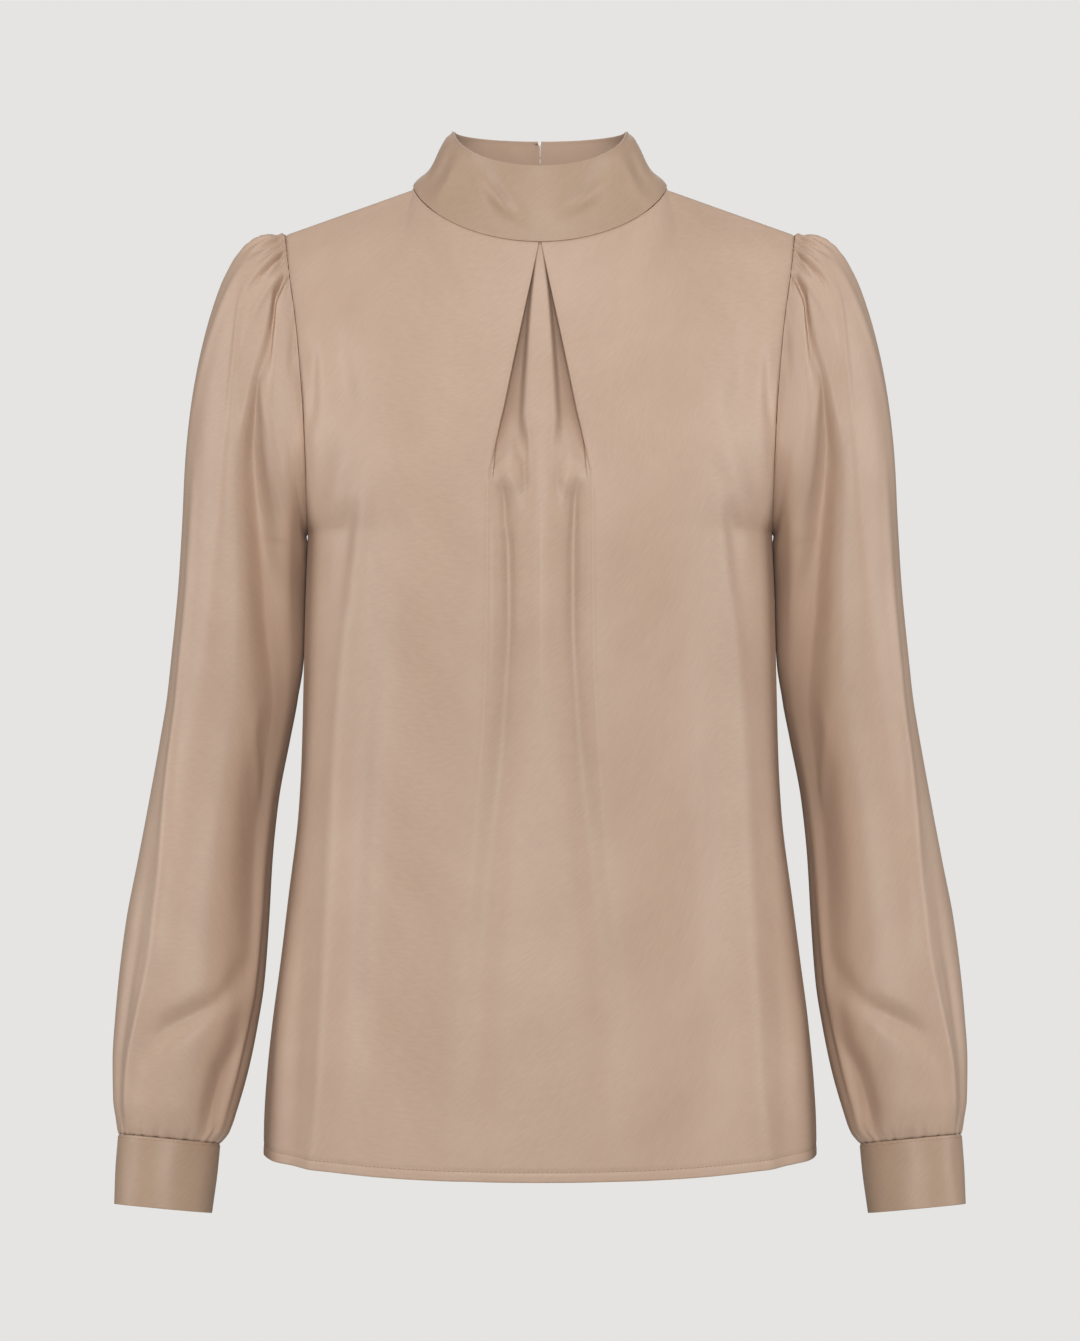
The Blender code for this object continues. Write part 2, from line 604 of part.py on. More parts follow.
def add_collar(material):
    """A band round the neck, whose ends nearly meet at the centre back."""
    front = np.linspace(0, SHOULDER_TURN, NECK_COLUMNS + 1)
    back = np.linspace(SHOULDER_TURN, pi, NECK_COLUMNS + 1)[1:]
    half = np.concatenate((front, back))
    turns = np.concatenate((-half[:0:-1], half))
    heights = np.array(COLLAR_ROWS)
    turn_grid, height_grid = np.meshgrid(turns, heights)
    points = collar_point(turn_grid, height_grid)
    gap = mix(COLLAR_END_GAP_FOOT, COLLAR_END_GAP_TOP, heights) / 2
    for column, side in ((0, -1), (-1, 1)):
        points[:, column, 0] = side * gap
    normals = grid_normals(points, np.zeros(len(points), bool))
    normals[-1] = neck_normal(turns)
    normals[:, [0, -1], 0] = 0.0
    normals = unit(normals)
    draw_in(points, "foot", SEAM / 2)
    make_wall("collar", points, normals, DOUBLED, material)


def ring(centre, outward, front, back, angle):
    """Point of a squarish round section: angle 0 is its front, 90 its outside."""
    across, ahead = np.sin(np.radians(angle)), np.cos(np.radians(angle))
    power = 2 / SLEEVE_POWER
    x = centre + outward * np.sign(across) * np.abs(across) ** power
    middle, depth = (front + back) / 2, (back - front) / 2
    return x, middle - depth * np.sign(ahead) * np.abs(ahead) ** power


def arm_point(angle, drop):
    """Point of the sleeve's smooth form below the armhole."""
    value = {name: read(SLEEVE, "drop", name, drop) for name in SLEEVE if name != "drop"}
    centre, half = (value["outer"] + value["inner"]) / 2, (value["outer"] - value["inner"]) / 2
    x, y = ring(centre, half, value["front"], value["back"], angle)
    tilt = value["lean_out"] * (x - centre) - value["lean_forward"] * (y - (value["front"] + value["back"]) / 2)
    return np.stack((x, y, tilt - drop), axis=-1)


def sleeve_point(angle, along):
    """Point of the sleeve's smooth form: 0 is the armhole seam, 1 the upper arm and 2 the wrist."""
    angle, along = np.broadcast_arrays(np.asarray(angle, float), np.asarray(along, float))
    upper = arm_point(angle, np.full_like(angle, BICEP_DROP))
    seam = around_armhole(angle)
    height = (1 + np.sin(np.radians(angle))) / 2
    seam = seam + np.stack((SEAM + UNDERARM_ROOM * (1 - height) ** 3, 0 * height, 0 * height), axis=-1)
    away = unit(np.stack(
        (height ** 0.5, -0.22 * np.cos(np.radians(angle)), 0.2 * height ** 3 - 0.9 * (1 - height) ** 2), axis=-1))
    first = seam + away * (2 + HEAD_REACH * height ** 1.3)[..., None]
    second = upper + np.stack((0 * height, 0 * height, 2 + HEAD_LIFT * height ** 1.5), axis=-1)
    t = np.clip(along, 0, 1)[..., None]
    cap = (1 - t) ** 3 * seam + 3 * t * (1 - t) ** 2 * first + 3 * t * t * (1 - t) * second + t ** 3 * upper
    arm = arm_point(angle, mix(BICEP_DROP, WRIST_DROP, np.clip(along - 1, 0, 1)))
    return np.where((along <= 1)[..., None], cap, arm)


def turn_between(first, second):
    """Smallest turn from one angle to another, in degrees."""
    return (first - second + 180) % 360 - 180


def fanned(arm, along):
    """Angle on the sleeve's form of a thread that reaches the upper arm at another angle."""
    arm = (arm + 90) % 360 - 90
    seam = read(FAN, "arm", "seam", arm)
    return mix(seam, arm, np.clip(along, 0, 1) ** 0.6)


def sleeve_relief(arm, along, side):
    """Height of the gathers and folds of a sleeve, by thread and by how far along it is."""
    height = np.zeros_like(along)
    for thread, depth, width, reach in zip(*(GATHERS[name] for name in ("arm", "depth", "width", "reach"))):
        window = ease(0.0, 0.05, along) * (1 - ease(0.35 * reach, reach, along))
        height -= depth * window * np.exp(-(turn_between(arm, thread) / width) ** 2)
    for fold in SLEEVE_FOLDS:
        away = np.radians(turn_between(arm, read(fold, "along", "angle", along))) * ARM_RADIUS
        height += read(fold, "along", "height", along) * np.exp(-(away / read(fold, "along", "width", along)) ** 2)
    puff = SLEEVE_PUFF * ease(0.0, 0.10, along) * (1 - ease(0.2, 0.6, along))
    return (height + puff * np.exp(-(turn_between(arm, 70) / 95) ** 2)) * (1 - SLEEVE_UNEVENNESS * side)


def add_sleeve(name, side, material):
    """A sleeve whose slit, above the cuff, is where the grid's first and last columns meet."""
    threads = np.linspace(SLIT_ANGLE - 360, SLIT_ANGLE, SLEEVE_COLUMNS + 1)
    along_rows = np.concatenate((CAP_ROWS, 1 + np.array(ARM_ROWS)))
    thread, along = np.meshgrid(threads, along_rows)
    angle = fanned(thread, along)
    points = sleeve_point(angle, along)
    all_closed = np.ones(len(points), bool)
    points += grid_normals(points, all_closed) * sleeve_relief(thread, along, side)[..., None]
    points[:, -1] = points[:, 0]
    normals = grid_normals(points, all_closed)
    normals[0] = armhole_outward(around_armhole(angle[0]), False)
    normals[-1] = unit(points[-1] - points[-1].mean(axis=0))
    closed = along_rows < 2 - SLEEVE_SLIT_LENGTH / (WRIST_DROP - BICEP_DROP)
    for column, way in ((0, 1), (-1, -1)):
        beside = unit(points[~closed, column + way] - points[~closed, column])
        points[~closed, column] += beside * SLEEVE_SLIT_GAP / 2
    draw_in(points, "foot", SEAM / 2)
    if side < 0:
        points, normals = mirrored(points), mirrored(normals)
    make_wall(name, points, normals, CLOTH, material, closed)


def cuff_frame(down):
    """Centre and half width of the cuff, from its seam at 0 to its lower edge at 1."""
    top = np.array([read(SLEEVE, "drop", "outer", WRIST_DROP) + read(SLEEVE, "drop", "inner", WRIST_DROP),
                    read(SLEEVE, "drop", "front", WRIST_DROP) + read(SLEEVE, "drop", "back", WRIST_DROP)]) / 2
    centre = top + np.array(CUFF_DRIFT) * down
    return centre, mix(CUFF_HALF_WIDTH_TOP, CUFF_HALF_WIDTH_FOOT, down)


def cuff_point(angle, down, lift):
    """Point of the cuff's middle, lifted off it where the end laps over."""
    centre, half = cuff_frame(down)
    half = half + lift
    x, y = ring(centre[0], half, centre[1] - half, centre[1] + half, angle)
    lean_out = read(SLEEVE, "drop", "lean_out", WRIST_DROP)
    lean_forward = read(SLEEVE, "drop", "lean_forward", WRIST_DROP)
    z = lean_out * (x - centre[0]) - lean_forward * (y - centre[1]) - WRIST_DROP - CUFF_HEIGHT * down
    return np.stack((x, y, z), axis=-1)


def cuff_lift(angle):
    """How far the overlapping end stands off the cuff, at angles past a whole turn."""
    lap = np.degrees(CUFF_LAP / CUFF_HALF_WIDTH_TOP)
    return (DOUBLED + SEAM) * ease(SLIT_ANGLE + 360 - 1.2 * lap, SLIT_ANGLE + 360 - 0.1 * lap, angle)


def add_cuff(name, side, material):
    """A band that starts under the slit, goes round the wrist and laps over its own start."""
    lap = np.degrees(CUFF_LAP / CUFF_HALF_WIDTH_TOP)
    around = np.linspace(SLIT_ANGLE, SLIT_ANGLE + 360 - 1.2 * lap, CUFF_COLUMNS)
    over = np.linspace(SLIT_ANGLE + 360 - 1.2 * lap, SLIT_ANGLE + 360 + lap, LAP_COLUMNS + 1)[1:]
    angles = np.concatenate((around, over))
    points = np.array([cuff_point(angles, down, cuff_lift(angles)) for down in (0.0, 0.5, 1.0)])
    normals = grid_normals(points, np.zeros(len(points), bool))
    draw_in(points, "top", SEAM / 2)
    if side < 0:
        points, normals = mirrored(points), mirrored(normals)
    make_wall(name, points, normals, DOUBLED, material)


def across(outward):
    """Give two directions across an outward one."""
    aside = unit(np.cross(outward, np.array([0.0, 0.0, 1.0])))
    return aside, np.cross(outward, aside)


def make_turned(name, profile, point, outward, material):
    """Make a turned piece from (radius, height) pairs, the first and last closed on the axis."""
    steps = BUTTON_SIDES
    aside, up = across(outward)
    turns = np.arange(steps) * 2 * pi / steps
    vertices = [point + outward * profile[0][1]]
    for radius, height in profile:
        vertices += [point + outward * height + radius * (aside * cos(t) + up * sin(t)) for t in turns]
    vertices.append(point + outward * profile[-1][1])
    faces = [(0, 1 + (i + 1) % steps, 1 + i) for i in range(steps)]
    for level in range(len(profile) - 1):
        low, high = 1 + level * steps, 1 + (level + 1) * steps
        faces += [(low + i, low + (i + 1) % steps, high + (i + 1) % steps, high + i) for i in range(steps)]
    last = len(vertices) - 1
    faces += [(last, last - steps + i, last - steps + (i + 1) % steps) for i in range(steps)]
    make_object(name, vertices, faces, material)


def button_profile(radius, height, shank):
    """Outline of a covered button on a shank of cloth and thread."""
    dome = [(radius * cos(t), shank + BUTTON_RIM + (height - BUTTON_RIM) * sin(t)) for t in np.linspace(0, 1.25, 4)]
    return [(SHANK_RADIUS, 0.0), (SHANK_RADIUS, shank), (radius - BUTTON_RIM, shank), *dome]


def surface_at(grid, turn, height):
    """Point and outward direction of a surface given by a function of two places."""
    step = 1e-3
    here = grid(turn, height)
    aside = grid(turn + step, height) - here
    up = grid(turn, height + step) - here
    return here, unit(np.cross(aside, up))


def collar_at(turn, height):
    return collar_point(np.array(turn), np.array(height))


def add_collar_fastenings(button_material, loop_material):
    """Covered buttons on the wearer's right end of the collar, and loops from its left end."""
    for number, height in enumerate(COLLAR_BUTTON_HEIGHTS, 1):
        turn = -pi + COLLAR_BUTTON_INSET / COLLAR_TOP_BACK
        point, outward = surface_at(collar_at, turn, height)
        foot = point + outward * (DOUBLED / 2 + SEAM)
        profile = button_profile(COLLAR_BUTTON_RADIUS, COLLAR_BUTTON_HEIGHT, SHANK_LENGTH)
        make_turned(f"collar_button_{number}", profile, foot, outward, button_material)
        aside, up = across(outward)
        aside = aside if aside[0] > 0 else -aside
        reach = SHANK_RADIUS + SEAM + LOOP_RADIUS
        lift = outward * (SHANK_LENGTH / 2)
        legs = COLLAR_BUTTON_INSET + LOOP_REACH
        bend = [foot + lift - aside * reach * sin(t) + up * reach * cos(t) for t in np.linspace(0, pi, 9)]
        far = [foot + lift + aside * legs * s + up * reach * mix(1, 0.6, s) for s in (1.0, 0.66, 0.33)]
        back = [foot + lift + aside * legs * s - up * reach * mix(1, 0.6, s) for s in (0.33, 0.66, 1.0)]
        make_tube(f"collar_loop_{number}", far + bend + back, LOOP_RADIUS, loop_material)


def make_tube(name, path, radius, material):
    """Make a thin round cord as a curve with filled ends."""
    curve = bpy.data.curves.new(name, "CURVE")
    curve.dimensions = "3D"
    curve.bevel_depth = radius * MILLIMETRE
    curve.bevel_resolution = 1
    curve.use_fill_caps = True
    spline = curve.splines.new("POLY")
    spline.points.add(len(path) - 1)
    for point, place in zip(spline.points, path):
        point.co = (*(place * MILLIMETRE), 1.0)
    curve.materials.append(material)
    bpy.context.scene.collection.objects.link(bpy.data.objects.new(name, curve))


def add_cuff_button(name, side, material):
    """A covered button on the overlapping end of a cuff."""
    angle = SLIT_ANGLE + 360 + np.degrees(0.25 * CUFF_LAP / CUFF_HALF_WIDTH_TOP)
    point, outward = surface_at(
        lambda turn, down: cuff_point(np.array(turn), down, DOUBLED + SEAM), angle, 0.5)
    if np.dot(outward[:2], [point[0] - cuff_frame(0.5)[0][0], point[1] - cuff_frame(0.5)[0][1]]) < 0:
        outward = -outward
    foot = point + outward * (DOUBLED / 2 + SEAM)
    if side < 0:
        foot, outward = foot * (-1, 1, 1), outward * (-1, 1, 1)
    profile = button_profile(CUFF_BUTTON_RADIUS, CUFF_BUTTON_HEIGHT, CUFF_SHANK_LENGTH)
    make_turned(name, profile, foot, outward, material)


def fabric(name, colour, roughness):
    """A cloth material."""
    material = bpy.data.materials.new(name)
    material.use_nodes = True
    shader = material.node_tree.nodes["Principled BSDF"]
    shader.inputs["Base Color"].default_value = (*colour, 1.0)
    shader.inputs["Roughness"].default_value = roughness
    shader.inputs["Metallic"].default_value = 0.0
    return material


def build():
    for item in list(bpy.data.objects):
        bpy.data.objects.remove(item)
    crepe = fabric("satin_crepe", (0.52, 0.38, 0.29), 0.5)
    covered = fabric("covered_button", (0.50, 0.36, 0.27), 0.5)
    cord = fabric("crepe_loop", (0.48, 0.34, 0.26), 0.6)
    add_front(crepe)
    add_backs(crepe)
    add_collar(crepe)
    for word, side in (("left", 1), ("right", -1)):
        add_sleeve(f"sleeve_{word}", side, crepe)
        add_cuff(f"cuff_{word}", side, crepe)
        add_cuff_button(f"cuff_button_{word}", side, covered)
    add_collar_fastenings(covered, cord)


build()
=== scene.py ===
"""A stand-collar blouse of satin crepe, filled out as if it were worn, dressed on its frame.

Lengths in the tables are in millimetres and turned to metres when a mesh is made. X runs to the wearer's
left, -Y is the front and Z is up. The origin is the middle of the neck, and a "drop" is a distance below it.
Each piece is worked out for the wearer's left and mirrored for the right, with slightly uneven folds.
"""
from math import atan2, cos, degrees, pi, radians, sin

import bmesh
import bpy
import numpy as np
from mathutils import Matrix, Vector


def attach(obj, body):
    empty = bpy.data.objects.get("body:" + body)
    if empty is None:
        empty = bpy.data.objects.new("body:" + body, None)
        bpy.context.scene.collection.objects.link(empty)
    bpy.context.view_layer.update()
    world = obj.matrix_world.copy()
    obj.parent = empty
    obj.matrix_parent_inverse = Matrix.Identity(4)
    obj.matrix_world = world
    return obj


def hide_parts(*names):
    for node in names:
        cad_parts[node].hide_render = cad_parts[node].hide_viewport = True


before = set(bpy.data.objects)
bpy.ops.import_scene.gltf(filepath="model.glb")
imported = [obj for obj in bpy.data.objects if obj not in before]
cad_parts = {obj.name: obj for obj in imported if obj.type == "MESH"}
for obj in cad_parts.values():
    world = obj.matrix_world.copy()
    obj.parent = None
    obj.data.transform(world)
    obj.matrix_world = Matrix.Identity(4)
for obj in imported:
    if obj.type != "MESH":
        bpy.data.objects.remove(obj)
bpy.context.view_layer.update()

# Camera
# A long lens looks straight at the front from 2.7 m away, level with the waist, which keeps the outline
# undistorted as in a shop's picture. The picture is upright, so the lens is worked out from its height.
CAMERA_DISTANCE = 2.7
CAMERA_HEIGHT = -0.3216
PICTURE_WIDTH = 0.7236  # of the plane through the shoulders
PICTURE_HEIGHT = PICTURE_WIDTH * 1341 / 1080  # the picture's pixels, high and wide

scene = bpy.context.scene


def add_object(name, data):
    """Put a new object in the scene."""
    thing = bpy.data.objects.new(name, data)
    scene.collection.objects.link(thing)
    return thing


lens = bpy.data.cameras.new("camera")
lens.lens = lens.sensor_width * CAMERA_DISTANCE / PICTURE_HEIGHT
scene.camera = add_object("camera", lens)
scene.camera.location = (0, -CAMERA_DISTANCE, CAMERA_HEIGHT)
scene.camera.rotation_euler = (pi / 2, 0, 0)

# Studio
# A pale floor that fades out into an even pale surround. The strongest softbox stands near the camera, one
# on each side draws the highlights down the outer edges, one hangs above and one behind lights the back. The
# body shades the inner side of each sleeve.
SURROUND = "#E5E4E2"
FLOOR_RADIUS = 1.5
FLOOR_DROP = 1.08  # from the neck; the blouse hangs clear of the floor
FLOOR_FADE = 0.45  # where the floor begins to fade
SOFTBOXES = (  # name, degrees round the blouse and above it, distance, width and height in m, watts, colour
    ("softbox_right", -80, 12, 2.4, 0.9, 1.8, 24.0, "#FFFFFF"),
    ("softbox_left", 80, 12, 2.4, 0.9, 1.8, 24.0, "#FFFFFF"),
    ("softbox_top", 0, 58, 2.2, 1.6, 0.8, 16.0, "#FFFFFF"),
    ("softbox_front", 0, 9, 3.4, 0.8, 0.8, 60.0, "#FFFCF8"),
    ("softbox_back", 180, 35, 2.6, 2.0, 1.4, 10.0, "#FFFFFF"),
)
AMBIENT = 0.04
AMBIENT_COLOUR = "#FFEAD8"  # light that has bounced off the cloth


def colour(code):
    """Linear colour from an sRGB hex code."""
    parts = [int(code[i:i + 2], 16) / 255 for i in (1, 3, 5)]
    return (*[p / 12.92 if p <= 0.04045 else ((p + 0.055) / 1.055) ** 2.4 for p in parts], 1.0)


def add_node(tree, kind, settings=(), **links):
    """Add a shader node. Settings name attributes or inputs; links give inputs a node or one of its
    outputs."""
    node = tree.nodes.new("ShaderNode" + kind)
    for name, value in dict(settings).items():
        if isinstance(name, str) and hasattr(node, name):
            setattr(node, name, value)
        else:
            node.inputs[name].default_value = value
    for name, source in links.items():
        key = name.replace("_", " ") if name.replace("_", " ") in node.inputs else int(name.strip("i"))
        socket = source.outputs[0] if isinstance(source, bpy.types.Node) else source
        tree.links.new(socket, node.inputs[key])
    return node


scene.view_settings.view_transform = "Standard"
world = bpy.data.worlds.new("studio")
world.use_nodes = True
tree = world.node_tree
tree.nodes.clear()
seen = add_node(tree, "Background", {"Color": colour(SURROUND), "Strength": 1.0})
lighting = add_node(tree, "Background", {"Color": colour(AMBIENT_COLOUR), "Strength": AMBIENT})
ray = add_node(tree, "LightPath")
either = add_node(tree, "MixShader", i0=ray.outputs["Is Camera Ray"], i1=lighting, i2=seen)
add_node(tree, "OutputWorld", Surface=either)
scene.world = world

middle = Vector((0, 0, CAMERA_HEIGHT))
for name, around, above, distance, width, height, watts, tint in SOFTBOXES:
    softbox = bpy.data.lights.new(name, "AREA")
    softbox.shape = "RECTANGLE"
    softbox.size, softbox.size_y, softbox.energy, softbox.color = width, height, watts, colour(tint)[:3]
    stand = add_object(name, softbox)
    a, e = radians(around), radians(above)
    away = Vector((sin(a) * cos(e), -cos(a) * cos(e), sin(e)))
    stand.location = middle + away * distance
    stand.rotation_euler = away.to_track_quat("Z", "Y").to_euler()
    stand.visible_camera = False

bpy.ops.object.select_all(action="DESELECT")
bpy.ops.mesh.primitive_circle_add(vertices=96, radius=FLOOR_RADIUS, fill_type="NGON",
                                  location=(0, 0, -FLOOR_DROP))
floor = bpy.context.object
floor.name = "floor"
bpy.ops.object.transform_apply(location=True)
floor_paint = bpy.data.materials.new("matt_floor_paint")
floor_paint.use_nodes = True
tree = floor_paint.node_tree
tree.nodes.clear()
place = add_node(tree, "TexCoord")
flat = add_node(tree, "VectorMath", {"operation": "MULTIPLY", 1: (1, 1, 0)}, i0=place.outputs["Object"])
radius = add_node(tree, "VectorMath", {"operation": "LENGTH"}, i0=flat)
fade = add_node(tree, "MapRange", {"interpolation_type": "SMOOTHSTEP", "From Min": FLOOR_FADE,
                                   "From Max": FLOOR_RADIUS}, Value=radius.outputs["Value"])
grain = add_node(tree, "TexNoise", {"Scale": 30.0, "Detail": 4.0}, Vector=place.outputs["Object"])
tint = add_node(tree, "Mix", {"data_type": "RGBA", 6: colour("#E3E2E0"), 7: colour("#E8E7E5")},
                i0=grain)
paint = add_node(tree, "BsdfDiffuse", Color=tint.outputs[2])
clear = add_node(tree, "BsdfTransparent")
blend = add_node(tree, "MixShader", i0=fade, i1=paint, i2=clear)
add_node(tree, "OutputMaterial", Surface=blend)
floor.data.materials.append(floor_paint)

# Satin crepe
# Polyester woven as a satin of hard-twisted crepe yarn and garment-washed. The right side has a soft, matt
# sheen and a faint diagonal from the floats of the weave; the wrong side, which shows inside the collar, is
# duller and more pebbly.
CREPE_LIGHT = "#CAB09C"
CREPE_DARK = "#C2A793"
CREPE_SHADED = "#BAA08A"  # painted shade: a darker copy of the crepe that stands in for the shade on the collar, the cuffs, their buttons and the loops
CREPE_SHADED_DARK = "#B39883"
CREPE_INSIDE = "#BCA08B"
FLOAT_ACROSS = 1.5  # mm; a streak of floats is really 0.4 by 1.5 mm, drawn coarser so that it shows
FLOAT_ALONG = 9.0
FLOAT_TURN = 52.0  # degrees between the floats and the cloth's length
PEBBLE = 1.3  # mm across a pebble of the crepe, drawn coarser for the same reason
CLOUDS = 14.0  # a metre, of the faint clouds that washing leaves
SHEEN_COLOUR = "#F5EDE6"
MM = 0.001


def crepe(name, light, dark, roughness, sheen, floats, pebbles, laid_out=True):
    """A crepe whose pattern follows the cloth through the piece's own UV map, in metres of cloth, or on a
    small piece that isn't laid out goes by its place."""
    material = bpy.data.materials.new(name)
    material.use_nodes = True
    tree = material.node_tree
    shader = tree.nodes["Principled BSDF"]
    if laid_out:
        cloth = add_node(tree, "UVMap", {"uv_map": "cloth"}).outputs[0]
    else:
        cloth = add_node(tree, "TexCoord").outputs["Object"]
    turned = add_node(tree, "VectorRotate", {"rotation_type": "Z_AXIS", "Angle": radians(FLOAT_TURN)},
                      Vector=cloth)
    float_size = (FLOAT_ACROSS * MM, FLOAT_ALONG * MM, 1)
    streaks = add_node(tree, "VectorMath", {"operation": "DIVIDE", 1: float_size}, i0=turned)
    floating = add_node(tree, "TexNoise", {"Scale": 1.0, "Detail": 1.0}, Vector=streaks)
    diagonal = add_node(tree, "MapRange", {"From Min": 0.3, "From Max": 0.7}, Value=floating)
    pebble = add_node(tree, "TexNoise", {"Scale": 1 / (PEBBLE * MM), "Detail": 2.0}, Vector=cloth)
    cloud = add_node(tree, "TexNoise", {"Scale": CLOUDS, "Detail": 3.0, "Roughness": 0.55}, Vector=cloth)
    washed = add_node(tree, "MapRange", {"From Min": 0.3, "From Max": 0.7}, Value=cloud)
    base = add_node(tree, "Mix", {"data_type": "RGBA", 6: colour(dark), 7: colour(light)}, i0=washed)
    yarn = add_node(tree, "MapRange", {"To Min": 1 - 0.05 * floats, "To Max": 1.0}, Value=diagonal)
    shaded = add_node(tree, "Mix", {"data_type": "RGBA", "blend_type": "MULTIPLY", 0: 1.0},
                      i6=base.outputs[2], i7=yarn)
    tree.links.new(shaded.outputs[2], shader.inputs["Base Color"])
    gloss = add_node(tree, "MapRange", {"To Min": roughness - 0.04, "To Max": roughness + 0.05}, Value=pebble)
    tree.links.new(gloss.outputs[0], shader.inputs["Roughness"])
    raised = add_node(tree, "Bump", {"Strength": 0.22 * floats, "Distance": 0.12 * MM}, Height=diagonal)
    pebbled = add_node(tree, "Bump", {"Strength": 0.3 * pebbles, "Distance": 0.1 * MM},
                       Height=pebble, Normal=raised)
    tree.links.new(pebbled.outputs[0], shader.inputs["Normal"])
    shader.inputs["Specular IOR Level"].default_value = 0.4
    shader.inputs["Sheen Weight"].default_value = sheen
    shader.inputs["Sheen Roughness"].default_value = 0.35
    shader.inputs["Sheen Tint"].default_value = colour(SHEEN_COLOUR)
    return material


satin_crepe = crepe("satin_crepe", CREPE_LIGHT, CREPE_DARK, 0.48, 0.06, 1.0, 1.0)
# Painted shade: the collar and cuffs take a darker copy of the crepe, which stands in for the shade they sit
# in.
shaded_crepe = crepe("satin_crepe_with_painted_shade", CREPE_SHADED, CREPE_SHADED_DARK, 0.44, 0.12, 1.0, 1.0)
crepe_inside = crepe("satin_crepe_wrong_side", CREPE_INSIDE, CREPE_DARK, 0.62, 0.22, 0.3, 1.6)

# Front
# One panel of satin crepe with an inverted pleat at the centre front, caught in the neck seam and left to
# open below. It is cut on the fold and eased at the bust. Its folds hang from the bust and the armholes.
LEFT, RIGHT, BOTH = 1, -1, 0  # of the wearer
SIDES = {"left": LEFT, "right": RIGHT}
SEAM = 0.36  # room between two pieces along a seam
RIGHT_SIDE = 0.6  # how far the cloth's right side lies outside the middle of the frame's wall
CLOTH = 0.5  # how thick it is drawn; the real cloth is about 0.3 mm
SEAM_OPENING = 0.16  # what shows of that room in the cloth
SEAM_ROLL = 0.5  # how deep the cloth rolls in where it is sewn
SEAM_ROLL_WIDTH = 1.5
NECK_HALF_WIDTH = 84.5
NECK_FRONT = 75.0
NECK_BACK = 64.0
NECK_SIDE_RISE = 2.0
NECK_FRONT_DROP = 44.4
NECK_BACK_DROP = 12.0
NECK_CURVE = 1.3
SHOULDER_HALF_WIDTH = 170.0
SHOULDER_DROP = 31.0
SHOULDER_SEAM_FORWARD = 8.0
SHOULDER_TURN = float(np.arccos(SHOULDER_SEAM_FORWARD / NECK_FRONT))
ARMPIT_DROP = 229.0
ARMPIT_DROP_CENTRE = 233.0
HEM_DROP_SIDE = 644.0
HEM_DROP_CENTRE = 648.0
SECTION_POWER = 2.4  # above 2 makes the body's sections squarer than an ellipse
SECTION_ROUNDNESS = (1.15, 2.0)  # at the shoulder, and from the armpit down
NECK_SHARE = 0.5  # of a panel's top edge, from the centre; the rest is the shoulder seam
NECK_CORNER_BLEND = 0.3
BLEND_STEPS = 9
PLEAT_LEAN = 25.0  # degrees by which the cloth behind the fold slopes down at the neck
PLEAT_UPRIGHT = (60, 180)  # the drops between which that slope ends
PLEAT_LETS_GO = (168, 192)
PLEAT_BEND = 2.5  # half the width over which the fold turns from the panel to the underlay


def table(names, *rows):
    """Give the columns of a table by name."""
    return {name: np.array(column, float) for name, column in zip(names.split(), zip(*rows))}


def read(rows, by, what, at):
    """Read a column at any place along another, on a smooth curve that never overshoots the table."""
    x, y = rows[by], rows[what]
    step = np.diff(x)
    slope = np.diff(y) / step
    same_way = slope[:-1] * slope[1:] > 0
    total = np.where(same_way, slope[:-1] + slope[1:], 1.0)
    inner = np.where(same_way, 2 * slope[:-1] * slope[1:] / total, 0.0)
    tangent = np.concatenate(([slope[0]], inner, [slope[-1]]))
    at = np.clip(at, x[0], x[-1])
    i = np.clip(np.searchsorted(x, at) - 1, 0, len(x) - 2)
    t = (at - x[i]) / step[i]
    start = (1 + 2 * t) * (1 - t) ** 2 * y[i] + t * (1 - t) ** 2 * step[i] * tangent[i]
    end = t * t * (3 - 2 * t) * y[i + 1] + t * t * (t - 1) * step[i] * tangent[i + 1]
    return start + end


def row_at(rows, by, at):
    """All the other columns of a table at places along one of them, by name."""
    return {name: read(rows, by, name, at) for name in rows if name != by}


def with_length(rows):
    """Add the share of the curve's length that lies before each point."""
    lengths = np.hypot(np.hypot(np.diff(rows["x"]), np.diff(rows["y"])), np.diff(rows["drop"]))
    rows["along"] = np.concatenate(([0.0], np.cumsum(lengths))) / lengths.sum()
    return rows


def ease(low, high, value):
    """Go smoothly from 0 at low to 1 at high."""
    t = np.clip((value - low) / (high - low), 0.0, 1.0)
    return t * t * (3 - 2 * t)


def mix(first, second, share):
    return first + (second - first) * share


def unit(vectors):
    return vectors / np.linalg.norm(vectors, axis=-1, keepdims=True)


def steps(*stretches):
    """Places from 0 on, as (where a stretch ends, how many steps it takes) pairs."""
    places = [np.zeros(1)]
    for end, count in stretches:
        places.append(np.linspace(places[-1][-1], end, count + 1)[1:])
    return np.concatenate(places)


BODY = table(
    "drop half_width front back",
    (ARMPIT_DROP, 154.6, 130, 104), (275, 156.4, 131, 101), (328, 157.6, 130, 98), (382, 159, 129, 97),
    (422, 161.4, 129, 99), (476, 167.4, 130, 103), (516, 172.4, 131, 107), (556, 178.2, 132, 111),
    (596, 182.4, 133, 115), (623, 184, 133, 117), (648, 184.4, 133, 118),
)
CENTRE_FRONT = table("drop out", (42, 75), (70, 90), (100, 102), (140, 114), (185, 124), (233, 130))
CENTRE_BACK = table(
    "drop out",
    (10, 64), (30, 76), (60, 91), (100, 103), (150, 109), (195, 107), (233, 104),
)
ARMHOLE = {
    "front": with_length(table(
        "x y drop",
        (170, -8, 31), (166.5, -28, 56), (161, -42, 92), (158, -48, 121), (155, -50, 166), (154, -42, 196),
        (154, -24, 219), (154.6, 0, ARMPIT_DROP),
    )),
    "back": with_length(table(
        "x y drop",
        (170, -8, 31), (169, 14, 42), (165, 36, 75), (160, 48, 115), (157, 50, 155), (155.5, 42, 192),
        (154.5, 22, 219), (154.6, 0, ARMPIT_DROP),
    )),
}
